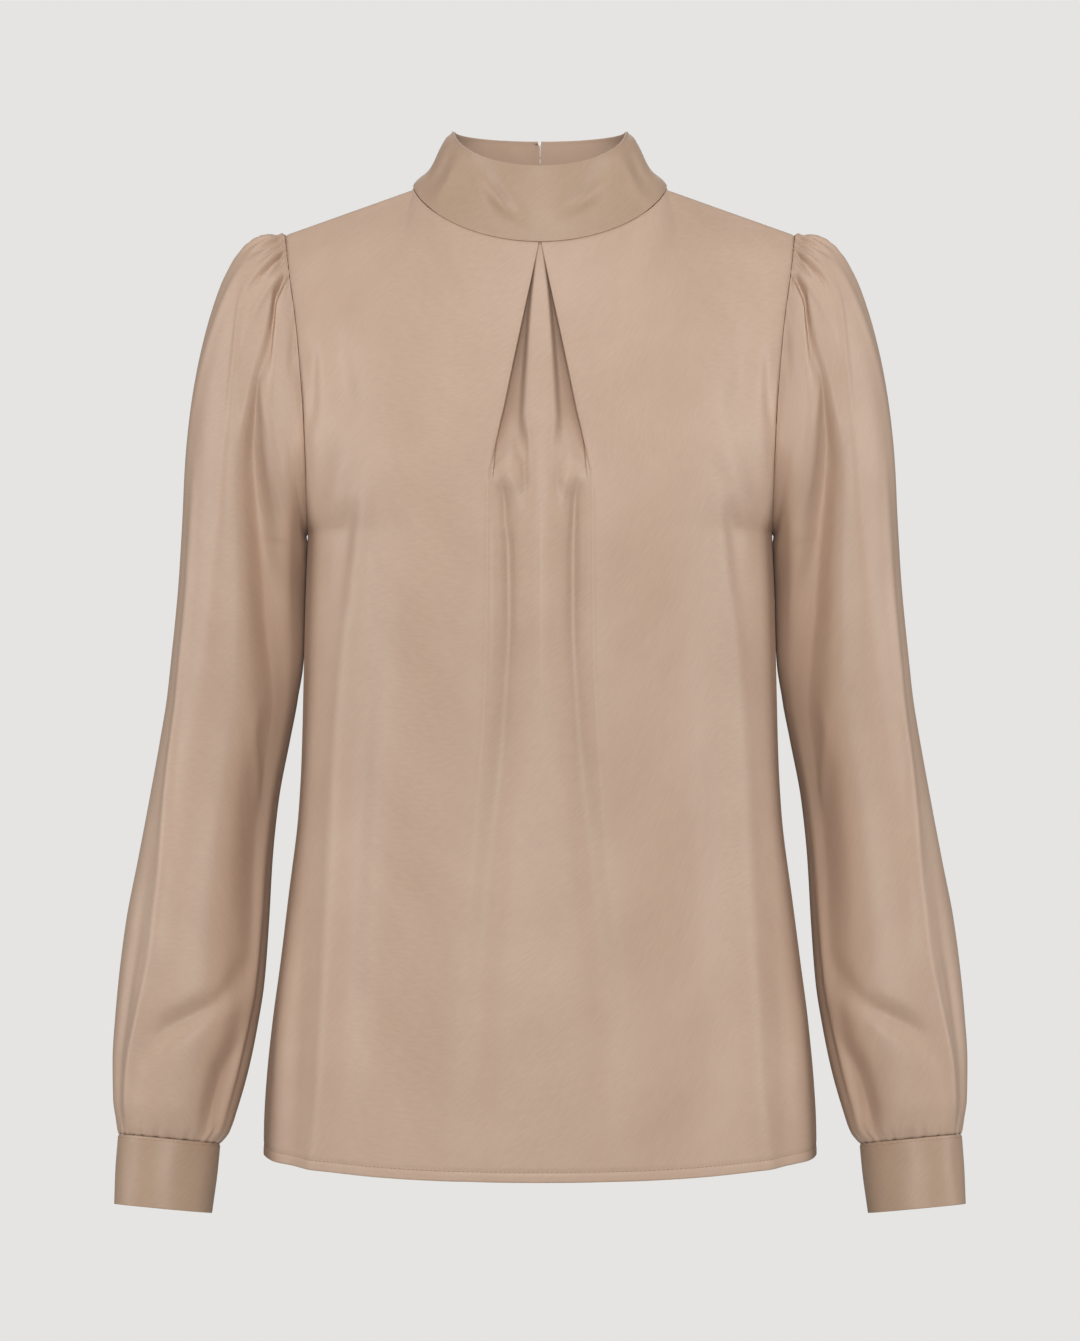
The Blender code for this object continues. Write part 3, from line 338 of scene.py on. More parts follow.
# The pleat: how far its fold edge is from the centre, how deep the underlay lies beside it and at the centre,
# where between the two it rises, and how far the cloth folds over itself (below 0 it no longer does)
PLEAT = table(
    "drop edge deep ridge flank overlap",
    (42, 0.78, 2.4, 1.9, 0.74, 60), (52, 3, 4.6, 1.8, 0.72, 60), (70, 6.8, 8.4, 1.6, 0.68, 60),
    (90, 11, 11.4, 1.4, 0.6, 60), (120, 17.2, 14, 1.2, 0.5, 60), (140, 21.2, 14, 1, 0.45, 56),
    (152, 23.6, 13.6, 0.9, 0.42, 50), (163, 26.2, 12, 0.8, 0.4, 40), (174, 28.6, 8.6, 0.6, 0.38, 24),
    (185, 31, 4.2, 0.4, 0.38, 8), (194, 32.4, 1.2, 0.2, 0.4, -6), (206, 33.5, 0.2, 0, 0.42, -10),
    (300, 34, 0.1, 0, 0.42, -10), (380, 38.5, 0, 0, 0.42, -10), (465, 45, 0, 0, 0.42, -10),
    (530, 51, 0, 0, 0.42, -10), (648, 58, 0, 0, 0.42, -10),
)
PLEAT_FLANK = 0.16  # half the width of the underlay's rise, as a share of the way to the fold
PLEAT_RISE = 0.45  # its share of the depth; the rest is the slope beside it

# Folds of the front. A height above 0 is a ridge, below 0 a trough.
FRONT_FOLDS = [(side, table("drop x height width", *rows)) for side, *rows in (
    (BOTH, (196, 33.2, 0, 1.3), (208, 33.4, 0.5, 1.2), (300, 34, 0.55, 1.3), (345, 35.6, 0.4, 1.8),
     (420, 41, 0.2, 3), (500, 47, 0, 4)),
    (RIGHT, (194, 26, 0, 5), (206, 25, -3, 5), (223, 23.8, -4.2, 5), (248, 22.6, -4.2, 5.2),
     (287, 22.2, -3.6, 5.6), (339, 24.5, -2.8, 6.5), (400, 28.5, -2.2, 8), (494, 37, -2, 9.5),
     (560, 41, -1.6, 11), (650, 45, -1, 12)),
    (LEFT, (194, 25.6, 0, 5), (206, 25, -3.4, 5), (223, 24.2, -4.8, 5), (248, 23.8, -5, 5.2),
     (287, 23.8, -4.6, 5.6), (339, 26, -3.4, 6.5), (400, 30, -2.6, 8), (468, 36.5, -2.4, 9.5),
     (531, 43, -1.8, 11), (650, 46, -1, 12)),
    (BOTH, (198, 17, 0, 9), (214, 16, -2.6, 9), (248, 15, -3.4, 9.5), (300, 15, -3, 10), (360, 19, -2, 11),
     (430, 23, 0, 12)),
    (BOTH, (196, 112, 0, 7), (214, 114, 1, 6), (240, 118, 1.9, 6), (308, 126, 2.1, 6), (380, 132, 2.3, 6.5),
     (471, 136, 2.1, 7), (602, 142, 2.5, 6.5), (650, 148, 2, 6.5)),
    (BOTH, (250, 103, 0, 12), (330, 110, -1.6, 10), (400, 116, -2.4, 10), (500, 120, -2.2, 11),
     (600, 124, -1.2, 13), (650, 126, -0.6, 14)),
    (BOTH, (420, 160, 0, 8), (500, 166, 1.6, 6), (560, 170, 2.2, 6), (650, 174, 1.6, 6)),
    (BOTH, (455, 152, 0, 8), (520, 157, -1.4, 7), (600, 160, -1.6, 7), (650, 163, -1, 7)),
    (BOTH, (104, 146, 0, 6), (126, 144, 0.9, 5), (160, 146, 1.2, 5), (205, 147, 1, 5), (240, 149, 0, 6)),
    (BOTH, (88, 138, 0, 10), (112, 134, -2, 9), (138, 130, -2.9, 10), (160, 126, -1.4, 11),
     (186, 124, 0, 12)),
    (BOTH, (150, 118, 0, 12), (180, 124, 1.3, 9), (205, 130, 1.6, 7), (232, 135, 1.2, 7), (262, 140, 0, 8)),
    (BOTH, (208, 122, 0, 6), (226, 125, -1.9, 6), (262, 128, -1.5, 7), (300, 132, 0, 8)),
    (BOTH, (104, 152, 0, 5), (118, 150, -1.8, 5), (146, 149, -1.8, 4.5), (168, 150, 0, 4)),
    (BOTH, (120, 84, 0, 20), (175, 88, 1.4, 22), (240, 84, 0, 22)),
)]
# Waves of the underlay, where the pleat lets go of its folds
PLEAT_WAVES = [(side, table("drop x height width", *rows)) for side, *rows in (
    (RIGHT, (156, 12.8, 0, 5), (166, 12.2, -1.6, 5), (176, 11.6, -3.4, 4.8), (187, 10.4, -3.8, 4.6),
     (200, 9.4, -2.6, 4.2), (212, 8.8, -1, 3.8), (224, 8, 0, 3.5)),
    (LEFT, (156, 11.4, 0, 5), (166, 11, -1.6, 5), (176, 10.6, -3.4, 4.8), (187, 10.2, -3.6, 4.4),
     (200, 9.8, -2.4, 4), (212, 9.4, -1, 3.6), (224, 9.2, 0, 3.4)),
    (BOTH, (180, 20, 0, 5), (190, 19.6, 1, 5), (200, 19.4, 1.2, 5), (209, 19, 0.4, 4), (228, 19, 0.9, 3),
     (236, 19, 0, 3)),
)]
FOLD_UNEVENNESS = {"front": 0.10, "underlay": 0.15, "back": 0.22}
FOLD_SHIFT = 1.6  # how far apart one side's folds and the other's may lie


def neck_seam(turn):
    """Point of the neck seam at an angle from the centre front, towards the wearer's left."""
    ahead = np.cos(turn)
    reach = np.where(ahead > 0, NECK_FRONT, NECK_BACK)
    fall = np.where(ahead > 0, NECK_FRONT_DROP, NECK_BACK_DROP) * np.abs(ahead) ** NECK_CURVE
    return np.stack((NECK_HALF_WIDTH * np.sin(turn), -reach * ahead, NECK_SIDE_RISE - fall), axis=-1)


def armhole(part, along):
    """Point of the armhole seam on the front or back, from the shoulder at 0 to the armpit at 1."""
    x, y, drop = row_at(ARMHOLE[part], "along", along).values()
    return np.stack((x, y, -drop), axis=-1)


def top_edge(part, share):
    """Point of a panel's top edge: the neck seam first, then the shoulder seam out to the armhole."""
    start = 0.0 if part == "front" else pi
    along_neck = np.clip(share / NECK_SHARE, 0, 1)
    on_neck = neck_seam(start + (SHOULDER_TURN - start) * along_neck)
    corner = neck_seam(np.array(SHOULDER_TURN))
    tip = np.array([SHOULDER_HALF_WIDTH, -SHOULDER_SEAM_FORWARD, -SHOULDER_DROP])
    along_shoulder = np.clip((share - NECK_SHARE) / (1 - NECK_SHARE), 0, 1)[..., None]
    return np.where((share <= NECK_SHARE)[..., None], on_neck, mix(corner, tip, along_shoulder))


def body_section(part, share, level):
    """Point of the body's smooth form. Share goes from the centre to the side; level is 0 at the shoulder,
    1 at the armpit and 2 at the hem."""
    front = part == "front"
    below = np.clip(level - 1, 0, 1)
    side = armhole(part, np.clip(level, 0, 1))
    side_drop = np.where(level > 1, mix(ARMPIT_DROP, HEM_DROP_SIDE, below), -side[..., 2])
    side_x = np.where(level > 1, read(BODY, "drop", "half_width", side_drop), side[..., 0])
    side_y = np.where(level > 1, 0.0, side[..., 1])
    start = (NECK_FRONT_DROP if front else NECK_BACK_DROP) - NECK_SIDE_RISE
    centre_drop = np.where(level > 1, mix(ARMPIT_DROP_CENTRE, HEM_DROP_CENTRE, below),
                           mix(start, ARMPIT_DROP_CENTRE, np.clip(level, 0, 1)))
    upper = read(CENTRE_FRONT if front else CENTRE_BACK, "drop", "out", centre_drop)
    lower = read(BODY, "drop", part, centre_drop)
    centre_y = np.where(level > 1, lower, upper) * (-1 if front else 1)
    power = mix(*SECTION_ROUNDNESS, np.clip(level, 0, 1) ** 2)
    across = np.sin(pi / 2 * share)
    roundness = np.clip(1 - across ** SECTION_POWER, 0, 1) ** (1 / power)
    y = side_y + (centre_y - side_y) * roundness
    return np.stack((side_x * across, y, -mix(centre_drop, side_drop, across ** 2)), axis=-1)


def body_point(part, share, level):
    """Point of a body panel's smooth form, whose top edge is the neck seam and the shoulder seam."""
    share, level = np.broadcast_arrays(np.asarray(share, float), np.asarray(level, float))
    spread = NECK_CORNER_BLEND * ease(0, 0.6, level)
    off = 0.0
    for step in np.linspace(-1, 1, BLEND_STEPS):
        near = np.abs(share + step * spread)
        past = near > 1
        near = np.where(past, 2 - near, near)
        here = top_edge(part, near) - body_section(part, near, np.zeros_like(level))
        off = off + np.where(past[..., None], -here, here) / BLEND_STEPS
    left = np.clip(1 - level, 0, 1)[..., None]
    fading = np.concatenate((left ** 2, left ** 3, left ** 2), axis=-1)
    return body_section(part, share, level) + off * fading


def relief(folds, points, side, unevenness):
    """Height of the soft folds at points of one side of a panel."""
    drop, x = -points[..., 2], np.abs(points[..., 0])
    height = np.zeros_like(x)
    for number, (sides, fold) in enumerate(folds):
        if sides not in (BOTH, side):
            continue
        place, high, width = row_at(fold, "drop", drop).values()
        away = (x - place - side * FOLD_SHIFT * sin(number * 2.3)) / width
        height += high * np.exp(-away ** 2) * (1 - side * unevenness * (1 + 0.8 * sin(number * 1.7)))
    return height


def pleat_row(drop, bend, threads):
    """Places across and behind the front's form of one half of the pleat: the underlay's threads run from the
    centre at 0 to the fold at 1, and then the bend turns from the underlay at -1 to the panel at 1."""
    edge, deep, ridge, flank, overlap = (float(value) for value in row_at(PLEAT, "drop", drop).values())
    reach = max(overlap, 0.0)
    over = reach / 6 * (reach / (3 * (reach + 4 * PLEAT_BEND))) ** 0.5
    bend_x = edge + over + bend * (bend ** 2 * (overlap + 4 * PLEAT_BEND) - overlap) / 4
    bend_y = deep * (2 + bend) * (1 - bend) ** 2 / 4
    flat_x = threads[:-1] * bend_x[0]
    share = flat_x / max(edge, 1.0)
    sloping = np.clip((share - flank) / (1 - flank), 0, 1)
    sloping = mix(sloping, ease(flank - PLEAT_FLANK, flank + PLEAT_FLANK, share), PLEAT_RISE)
    flat_y = ridge + (deep - ridge) * sloping
    return np.concatenate((flat_x, bend_x)), np.concatenate((flat_y, bend_y))


def front_half(levels, threads, bend, spread):
    """Rows of points of half of the front, from the centre to the side, and how much of a wave each takes."""
    probe = np.linspace(0, 0.6, 121)
    form = body_point("front", probe[None, :], levels[:, None])
    rows, shown = [], []
    for level, probes in zip(levels, form):
        drop = -probes[0, 2]
        across, behind = pleat_row(drop, bend, threads)
        start = np.interp(across[-1], probes[:, 0], probe)
        shares = spread + start * np.clip(1 - spread / NECK_SHARE, 0, 1) ** 2
        panel = body_point("front", shares, level)
        folded = body_point("front", np.interp(np.abs(across[:-1]), probes[:, 0], probe), level)
        folded[:, 0] = across[:-1]
        slope = radians(PLEAT_LEAN) * (1 - float(ease(*PLEAT_UPRIGHT, drop)))
        folded += behind[:-1, None] * np.array([0.0, cos(slope), -sin(slope)])
        rows.append(np.concatenate((folded, panel)))
        beyond = np.full(len(bend) - 1 + len(panel), float(ease(*PLEAT_LETS_GO, drop)))
        shown.append(np.concatenate((np.ones(len(threads) - 1), beyond)))
    return np.array(rows), np.array(shown)


def grid_normals(points, closed_rows=None):
    """Outward direction at each point of a grid. Closed rows start and end on the same point."""
    across = points[:, 1:] - points[:, :-1]
    down = points[1:] - points[:-1]
    face = np.cross(down[:, :-1] + down[:, 1:], across[:-1] + across[1:])
    total = np.zeros_like(points)
    for rows in (slice(None, -1), slice(1, None)):
        for columns in (slice(None, -1), slice(1, None)):
            total[rows, columns] += face
    if closed_rows is not None:
        total[closed_rows, 0] += total[closed_rows, -1]
        total[closed_rows, -1] = total[closed_rows, 0]
    return unit(total + 1e-12)


def from_edge(points, edge):
    """Distance along the cloth from one edge of a grid: top, foot, start or end."""
    axis = 0 if edge in ("top", "foot") else 1
    turned = points if edge in ("top", "start") else np.flip(points, axis)
    gaps = np.linalg.norm(np.diff(turned, axis=axis), axis=-1)
    length = np.concatenate((np.zeros_like(np.take(gaps, [0], axis)), np.cumsum(gaps, axis=axis)), axis=axis)
    return length if edge in ("top", "start") else np.flip(length, axis)


def roll(points, *edges):
    """Depth of the groove beside each sewn edge."""
    return sum(SEAM_ROLL * np.exp(-(from_edge(points, edge) / SEAM_ROLL_WIDTH) ** 2) for edge in edges)


def draw_in(points, *edges):
    """Move edges of a grid towards their next row or column, by half of what shows of a seam's room."""
    for edge in edges:
        here, beside = {
            "top": (np.s_[0], np.s_[1]), "foot": (np.s_[-1], np.s_[-2]),
            "start": (np.s_[:, 0], np.s_[:, 1]), "end": (np.s_[:, -1], np.s_[:, -2]),
        }[edge]
        points[here] = points[here] + unit(points[beside] - points[here]) * SEAM_OPENING / 2


def mirrored(points):
    """Give a grid on the wearer's right, its columns in the order that keeps its outside outside."""
    flipped = points[:, ::-1].copy()
    flipped[..., 0] *= -1
    return flipped


def pick(piece):
    """Make a piece the one that operators work on."""
    bpy.ops.object.select_all(action="DESELECT")
    bpy.context.view_layer.objects.active = piece
    piece.select_set(True)


def stand_in(piece, node):
    """Hang a piece on the frame's root in place of a node of the frame, whose own part is hidden."""
    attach(piece, "root")
    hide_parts(node)


def sew(name, points, thickness, node, closed_rows=None, cloth=None, bevel=0.0):
    """Make a shell of cloth from the grid of its right side, and say what it stands for."""
    rows, columns = points.shape[:2]
    number = np.arange(rows * columns).reshape(rows, columns)
    quads = np.stack((number[:-1, :-1], number[1:, :-1], number[1:, 1:], number[:-1, 1:]), axis=-1)
    mesh = bpy.data.meshes.new(name)
    mesh.from_pydata((points.reshape(-1, 3) * MM).tolist(), [], quads.reshape(-1, 4).tolist())
    grain = np.stack((from_edge(points, "start"), -from_edge(points, "top")), axis=-1) * MM
    grain[..., 0] -= grain[:, columns // 2:columns // 2 + 1, 0]
    corners = np.empty(len(mesh.loops), int)
    mesh.loops.foreach_get("vertex_index", corners)
    mesh.uv_layers.new(name="cloth").data.foreach_set("uv", grain.reshape(-1, 2)[corners].ravel())
    mesh.materials.append(cloth or satin_crepe)
    mesh.materials.append(crepe_inside)
    if closed_rows is not None:
        shell = bmesh.new()
        shell.from_mesh(mesh)
        shell.verts.ensure_lookup_table()
        edges = [shell.verts[i] for i in number[closed_rows][:, [0, -1]].T.ravel()]
        bmesh.ops.remove_doubles(shell, verts=edges, dist=0.01 * MM)
        shell.to_mesh(mesh)
        shell.free()
    mesh.shade_smooth()
    piece = add_object(name, mesh)
    wall = piece.modifiers.new("wall", "SOLIDIFY")
    wall.thickness, wall.offset, wall.material_offset = thickness * MM, -1.0, 1
    if bevel:
        rim = piece.modifiers.new("rim", "BEVEL")
        rim.width, rim.segments, rim.angle_limit = bevel * MM, 3, radians(60)
    pick(piece)
    for modifier in list(piece.modifiers):
        bpy.ops.object.modifier_apply(modifier=modifier.name)
    stand_in(piece, node)


def panel_outside(points, rise, side_seam, *other_seams):
    """Right side of a body panel, its folds held flat along the side seam and its hem stitched down."""
    rise = rise * (1 - np.exp(-(from_edge(points, side_seam) / SEAM_STIFFNESS) ** 2))
    rise -= roll(points, "top", side_seam, *other_seams)
    rise -= HEM_DIMPLE * np.exp(-((from_edge(points, "foot") - HEM_DEPTH) / HEM_DIMPLE_WIDTH) ** 2)
    return points + grid_normals(points) * (rise + RIGHT_SIDE)[..., None]


BODY_LEVELS = steps((0.012, 4), (1.0, 60), (1.962, 86), (2.0, 15))
PANEL_SHARES = steps((NECK_SHARE, 38), (0.97, 36), (1.0, 8))
PLEAT_THREADS = steps((1.0, 34))
PLEAT_TURN = -np.cos(np.linspace(0, pi, 31))
HEM_DEPTH = 6.6  # from the edge of the hem to its stitching
HEM_DIMPLE = 0.4
HEM_DIMPLE_WIDTH = 1.3
SEAM_STIFFNESS = 5.0  # how far from a seam its allowances keep the cloth flat


def front_piece():
    """Both halves of the front as one grid, from the wearer's right side seam to the left one."""
    halves = {}
    for side in (LEFT, RIGHT):
        points, shown = front_half(BODY_LEVELS, PLEAT_THREADS, PLEAT_TURN, PANEL_SHARES)
        rise = relief(FRONT_FOLDS, points, side, FOLD_UNEVENNESS["front"])
        rise += relief(PLEAT_WAVES, points, side, FOLD_UNEVENNESS["underlay"]) * shown
        halves[side] = panel_outside(points, rise, "end")
        draw_in(halves[side], "top", "end")
    left, right = halves[LEFT], mirrored(halves[RIGHT])
    left[:, 0] = (left[:, 0] + right[:, -1]) / 2
    return np.concatenate((right[:, :-1], left), axis=1)


front_grid = front_piece()
sew("blouse_front", front_grid, CLOTH, "front")

# Backs
# Two panels joined by the centre-back seam below a slit, which lets the head through and is closed by the
# collar's loops. They hang straight from the shoulder blades, with soft folds on each side.
SLIT_LENGTH = 165.0
SLIT_GAP = 1.0
BACK_FOLDS = [(side, table("drop x height width", *rows)) for side, *rows in (
    (BOTH, (150, 112, 0, 14), (230, 118, 2.2, 13), (340, 112, 3, 12), (460, 116, 3.2, 13),
     (600, 126, 3.4, 14), (650, 130, 3.2, 14)),
    (BOTH, (220, 92, 0, 12), (320, 88, -2.4, 12), (440, 90, -3.2, 12), (560, 96, -2.6, 14),
     (650, 100, -2, 15)),
    (BOTH, (300, 52, 0, 14), (400, 50, 2, 13), (520, 54, 3, 14), (650, 60, 3, 15)),
    (BOTH, (70, 150, 0, 8), (110, 142, -1.6, 8), (160, 134, -1.8, 9), (215, 128, 0, 10)),
    (BOTH, (120, 140, 0, 8), (170, 144, 1.3, 7), (220, 146, 0, 8)),
    (BOTH, (330, 70, 0, 7), (420, 71, -1.2, 7), (540, 76, -1.6, 8), (650, 82, -1.2, 8)),
    (BOTH, (430, 146, 0, 8), (520, 152, 1.6, 7), (650, 158, 1.4, 8)),
)]


def back_piece(side):
    """One back panel, from its side seam to the centre back on the left, and mirrored on the right."""
    shares, heights = np.meshgrid(PANEL_SHARES, BODY_LEVELS)
    points = body_point("back", shares, heights)
    drop = -points[:, :1, 2]
    points[..., 0] += mix(SLIT_GAP, SEAM, ease(0, SLIT_LENGTH, drop)) / 2 * (1 - shares) ** 2
    points = points[:, ::-1].copy()
    centre = points[:, -1, 0].copy()
    rise = relief(BACK_FOLDS, points, side, FOLD_UNEVENNESS["back"])
    points = panel_outside(points, rise, "start", "end")
    points[:, -1, 0] = centre
    draw_in(points, "top", "start")
    return points if side == LEFT else mirrored(points)


back_grids = {word: back_piece(side) for word, side in SIDES.items()}
for word, grid in back_grids.items():
    sew(f"blouse_back_{word}", grid, CLOTH, f"back_{word}")

# Collar
# A funnel band of two layers with an interlining, cut in one with no seam at the top, and open at the centre
# back. It stands up from the neck seam, spreads towards it, and has soft dents where it bends round the neck.
DOUBLED = 2.0
SLACK = 0.1  # how much thinner than the frame's wall the two layers are
DOUBLED_EDGE = 0.8  # how round their edges are
COLLAR_TOP_HALF_WIDTH = 58.0
COLLAR_TOP_FRONT = 58.0
COLLAR_TOP_BACK = 52.0
COLLAR_TOP_RISE = 39.5
COLLAR_TOP_DIP = 30.0
COLLAR_FLARE = 1.55
COLLAR_EDGE = (0.3, 1.2)  # how far its top edge rolls in, and over what width
COLLAR_EDGE_STIFFNESS = 3.0
COLLAR_ARC = 66.0  # its mean radius, which turns angles to lengths along it
COLLAR_DEPTH = 42.0
COLLAR_END_GAP = 0.5  # between its two ends, which open out at their rounded top corners
COLLAR_CORNERS = {LEFT: 0.7, RIGHT: 1.5}
COLLAR_CURL = 0.9  # how far one end lies outside and the other inside
COLLAR_CURL_WIDTH = 4.0
COLLAR_DENTS = table(  # degrees from the centre front, share of the height, and how deep, wide and high
    "turn height depth wide high lean",
    (-23, 0.54, -5.6, 14, 5.4, -0.45), (26, 0.56, -4.8, 15, 5.4, 0.22), (-60, 0.45, 1.7, 5, 15, 0.1),
    (60, 0.45, 1.7, 5, 15, -0.1), (-71, 0.5, -1.2, 5, 13, 0.1), (71, 0.5, -1.1, 5, 13, -0.1),
    (-38, 0.8, -1, 10, 6, 0.2), (41, 0.78, -0.6, 11, 6, 0), (0, 0.25, 0.7, 22, 8, 0),
    (-88, 0.7, 4, 34, 15, 0), (88, 0.7, 4, 34, 15, 0), (-86, 0.12, 1.8, 26, 6, 0),
    (86, 0.12, 1.8, 26, 6, 0), (-150, 0.45, -1.1, 10, 9, 0.4), (146, 0.5, -1.2, 12, 8, -0.3),
    (-120, 0.6, 0.9, 9, 12, 0), (118, 0.55, 0.8, 9, 12, 0.1), (-168, 0.72, -0.6, 8, 5, 0.8),
    (-171, 0.4, -0.5, 7, 5, -0.6),
)


def collar_point(turn, height):
    """Point of the collar's middle at an angle from the centre front, from its seam at 0 to its top at 1."""
    foot = neck_seam(turn)
    ahead = np.cos(turn)
    dip = COLLAR_TOP_DIP * np.where(ahead > 0, ahead, 0.0) ** 1.1
    reach = np.where(ahead > 0, COLLAR_TOP_FRONT, COLLAR_TOP_BACK)
    top = np.stack((COLLAR_TOP_HALF_WIDTH * np.sin(turn), -reach * ahead, COLLAR_TOP_RISE - dip), axis=-1)
    flare = ((1 - height) ** COLLAR_FLARE)[..., None]
    rise = (height ** 1.15)[..., None]
    return np.concatenate((mix(top, foot, flare)[..., :2], mix(foot, top, rise)[..., 2:]), axis=-1)


def collar_relief(turn, height):
    """How far the collar's right side lies outside its middle: its dents, rolled edge and curled ends."""
    rise = DOUBLED / 2 + 0 * turn
    below_top = (1 - height) * COLLAR_DEPTH
    kept = 1 - np.exp(-(below_top / COLLAR_EDGE_STIFFNESS) ** 2)
    for at, up, depth, wide, high, lean in zip(*COLLAR_DENTS.values()):
        aside = (turn - radians(at)) * COLLAR_ARC
        above = (height - up) * COLLAR_DEPTH - lean * aside
        rise = rise + depth * np.exp(-(aside / wide) ** 2 - (above / high) ** 2) * kept
    end = (pi - np.abs(turn)) * COLLAR_TOP_BACK
    rolled_in, over = COLLAR_EDGE
    curl = COLLAR_CURL * np.sign(turn) * np.exp(-(end / COLLAR_CURL_WIDTH) ** 2)
    return rise - rolled_in * np.exp(-(below_top / over) ** 2) - curl


turns, heights = np.meshgrid(np.linspace(-pi, pi, 261), 1 - steps((0.08, 8), (0.96, 34), (1.0, 4)))
collar_grid = collar_point(turns, heights)
for column, side in ((0, RIGHT), (-1, LEFT)):
    corner = COLLAR_CORNERS[side] * ease(0.90, 1.0, heights[:, 0]) ** 2
    collar_grid[:, column, 0] = side * (COLLAR_END_GAP / 2 + corner)
collar_normals = grid_normals(collar_grid)
collar_normals[:, [0, -1], 0] = 0
collar_rise = collar_relief(turns, heights) - roll(collar_grid, "foot")
collar_grid += unit(collar_normals) * collar_rise[..., None]
draw_in(collar_grid, "foot")
# The collar's darker crepe is painted shade.
sew("blouse_collar", collar_grid, DOUBLED - SLACK, "collar",
    cloth=shaded_crepe, bevel=DOUBLED_EDGE)

# Collar fastening
# Two round buttons covered in the crepe stand on cloth shanks on the wearer's right end of the collar. A
# turned loop of crepe, sewn down on the other end, goes round each shank and holds the collar closed.
COLLAR_BUTTON_RADIUS = 4.5
COLLAR_BUTTON_HEIGHT = 3.0
COLLAR_BUTTON_INSET = 7.5
COLLAR_BUTTON_HEIGHTS = (0.28, 0.76)
SHANK_RADIUS = 1.5
SHANK_LENGTH = 2.0
BUTTON_SIDES = 28
BUTTON_GATHER = 0.16  # how far every other gather under the rim stands up
OFF_CLOTH = 0.05  # how far a shank and the stitches are kept off the cloth
BUTTON_PROFILE = (  # shares of the radius and of the height above the shank, from the underside up
    (0.62, 0.0), (0.90, 0.03), (0.985, 0.12), (1.0, 0.26), (0.965, 0.46), (0.86, 0.66), (0.66, 0.84),
    (0.36, 0.96), (0.06, 1.0),
)
LOOP_RADIUS = 0.6
LOOP_ROOM = 0.2  # round the shank
LOOP_REACH = 5.5
LOOP_LIFT = table("aside out", (0, 2.1), (7, 2.65), (9, 2.4), (13, 1.5))  # off the collar's middle

# Painted shade: the buttons take the darker, shaded copy of the crepe and the loops its darkest tone.
button_crepe = crepe("satin_crepe_on_button", CREPE_SHADED, CREPE_SHADED_DARK, 0.44, 0.06, 1.0, 1.0,
                     laid_out=False)
loop_crepe = crepe("turned_crepe_loop", CREPE_SHADED_DARK, CREPE_SHADED_DARK, 0.46, 0.08, 0.6, 1.2,
                   laid_out=False)


def covered_button(name, node, radius, height, shank, foot, outward):
    """A button covered in crepe, turned up ring by ring from its shank's foot and gathered under its rim."""
    rings = [(0.2 * SHANK_RADIUS, 0.0), (SHANK_RADIUS, 0.0), (SHANK_RADIUS, 0.9 * shank)]
    rings += [(radius * out, shank + height * up) for out, up in BUTTON_PROFILE]
    bpy.ops.object.select_all(action="DESELECT")
    bpy.ops.mesh.primitive_circle_add(vertices=BUTTON_SIDES, radius=rings[0][0] * MM, fill_type="NOTHING",
                                      location=(0, 0, 0))
    button = bpy.context.object
    button.name = name
    bpy.ops.object.mode_set(mode="EDIT")
    bpy.ops.mesh.select_all(action="SELECT")
    for (last_radius, last_up), (next_radius, next_up) in zip(rings, rings[1:]):
        bpy.ops.mesh.extrude_edges_move(TRANSFORM_OT_translate={"value": (0, 0, (next_up - last_up) * MM)})
        grow = next_radius / last_radius
        bpy.ops.transform.resize(value=(grow, grow, 1))
    bpy.ops.mesh.select_all(action="DESELECT")
    bpy.ops.mesh.select_non_manifold()
    bpy.ops.mesh.edge_face_add()
    bpy.ops.mesh.select_all(action="SELECT")
    bpy.ops.mesh.normals_make_consistent(inside=False)
    bpy.ops.object.mode_set(mode="OBJECT")
    rim = (shank + height * BUTTON_PROFILE[1][1]) * MM
    for vertex in button.data.vertices:
        turn = atan2(vertex.co.y, vertex.co.x) / (2 * pi) * BUTTON_SIDES
        if abs(vertex.co.z - rim) < 0.01 * MM and round(turn) % 2:
            vertex.co.z += BUTTON_GATHER * MM
    rounding = button.modifiers.new("rounding", "SUBSURF")
    rounding.levels = rounding.render_levels = 2
    bpy.ops.object.modifier_apply(modifier="rounding")
    aside = unit(np.cross((0.0, 0.0, 1.0), outward))
    placed = np.eye(4)
    placed[:3] = np.stack((aside, np.cross(outward, aside), outward, np.asarray(foot) * MM), axis=-1)
    button.data.transform(Matrix(placed.tolist()))
    button.data.shade_smooth()
    button.data.materials.append(button_crepe)
    stand_in(button, node)


def collar_outside(turn, height, out=None):
    """Point a distance outside the collar's middle, or on its right side where none is given, and the way
    out."""
    turn = np.array((turn + pi) % (2 * pi) - pi)
    step = 1e-3
    here, aside, up = (
        collar_point(turn + a, np.array(height + b)) for a, b in ((0, 0), (step, 0), (0, step)))
    outward = unit(np.cross(aside - here, up - here))
    return here + outward * (collar_relief(turn, height) if out is None else out), outward


def loop_place(aside, up, height):
    """Place of a loop at a distance from its button towards the other end of the collar, and up from it."""
    turn = -pi + (COLLAR_BUTTON_INSET - aside) / COLLAR_TOP_BACK
    out = read(LOOP_LIFT, "aside", "out", max(aside, 0.0))
    return collar_outside(turn, height + up / COLLAR_DEPTH, out)[0]


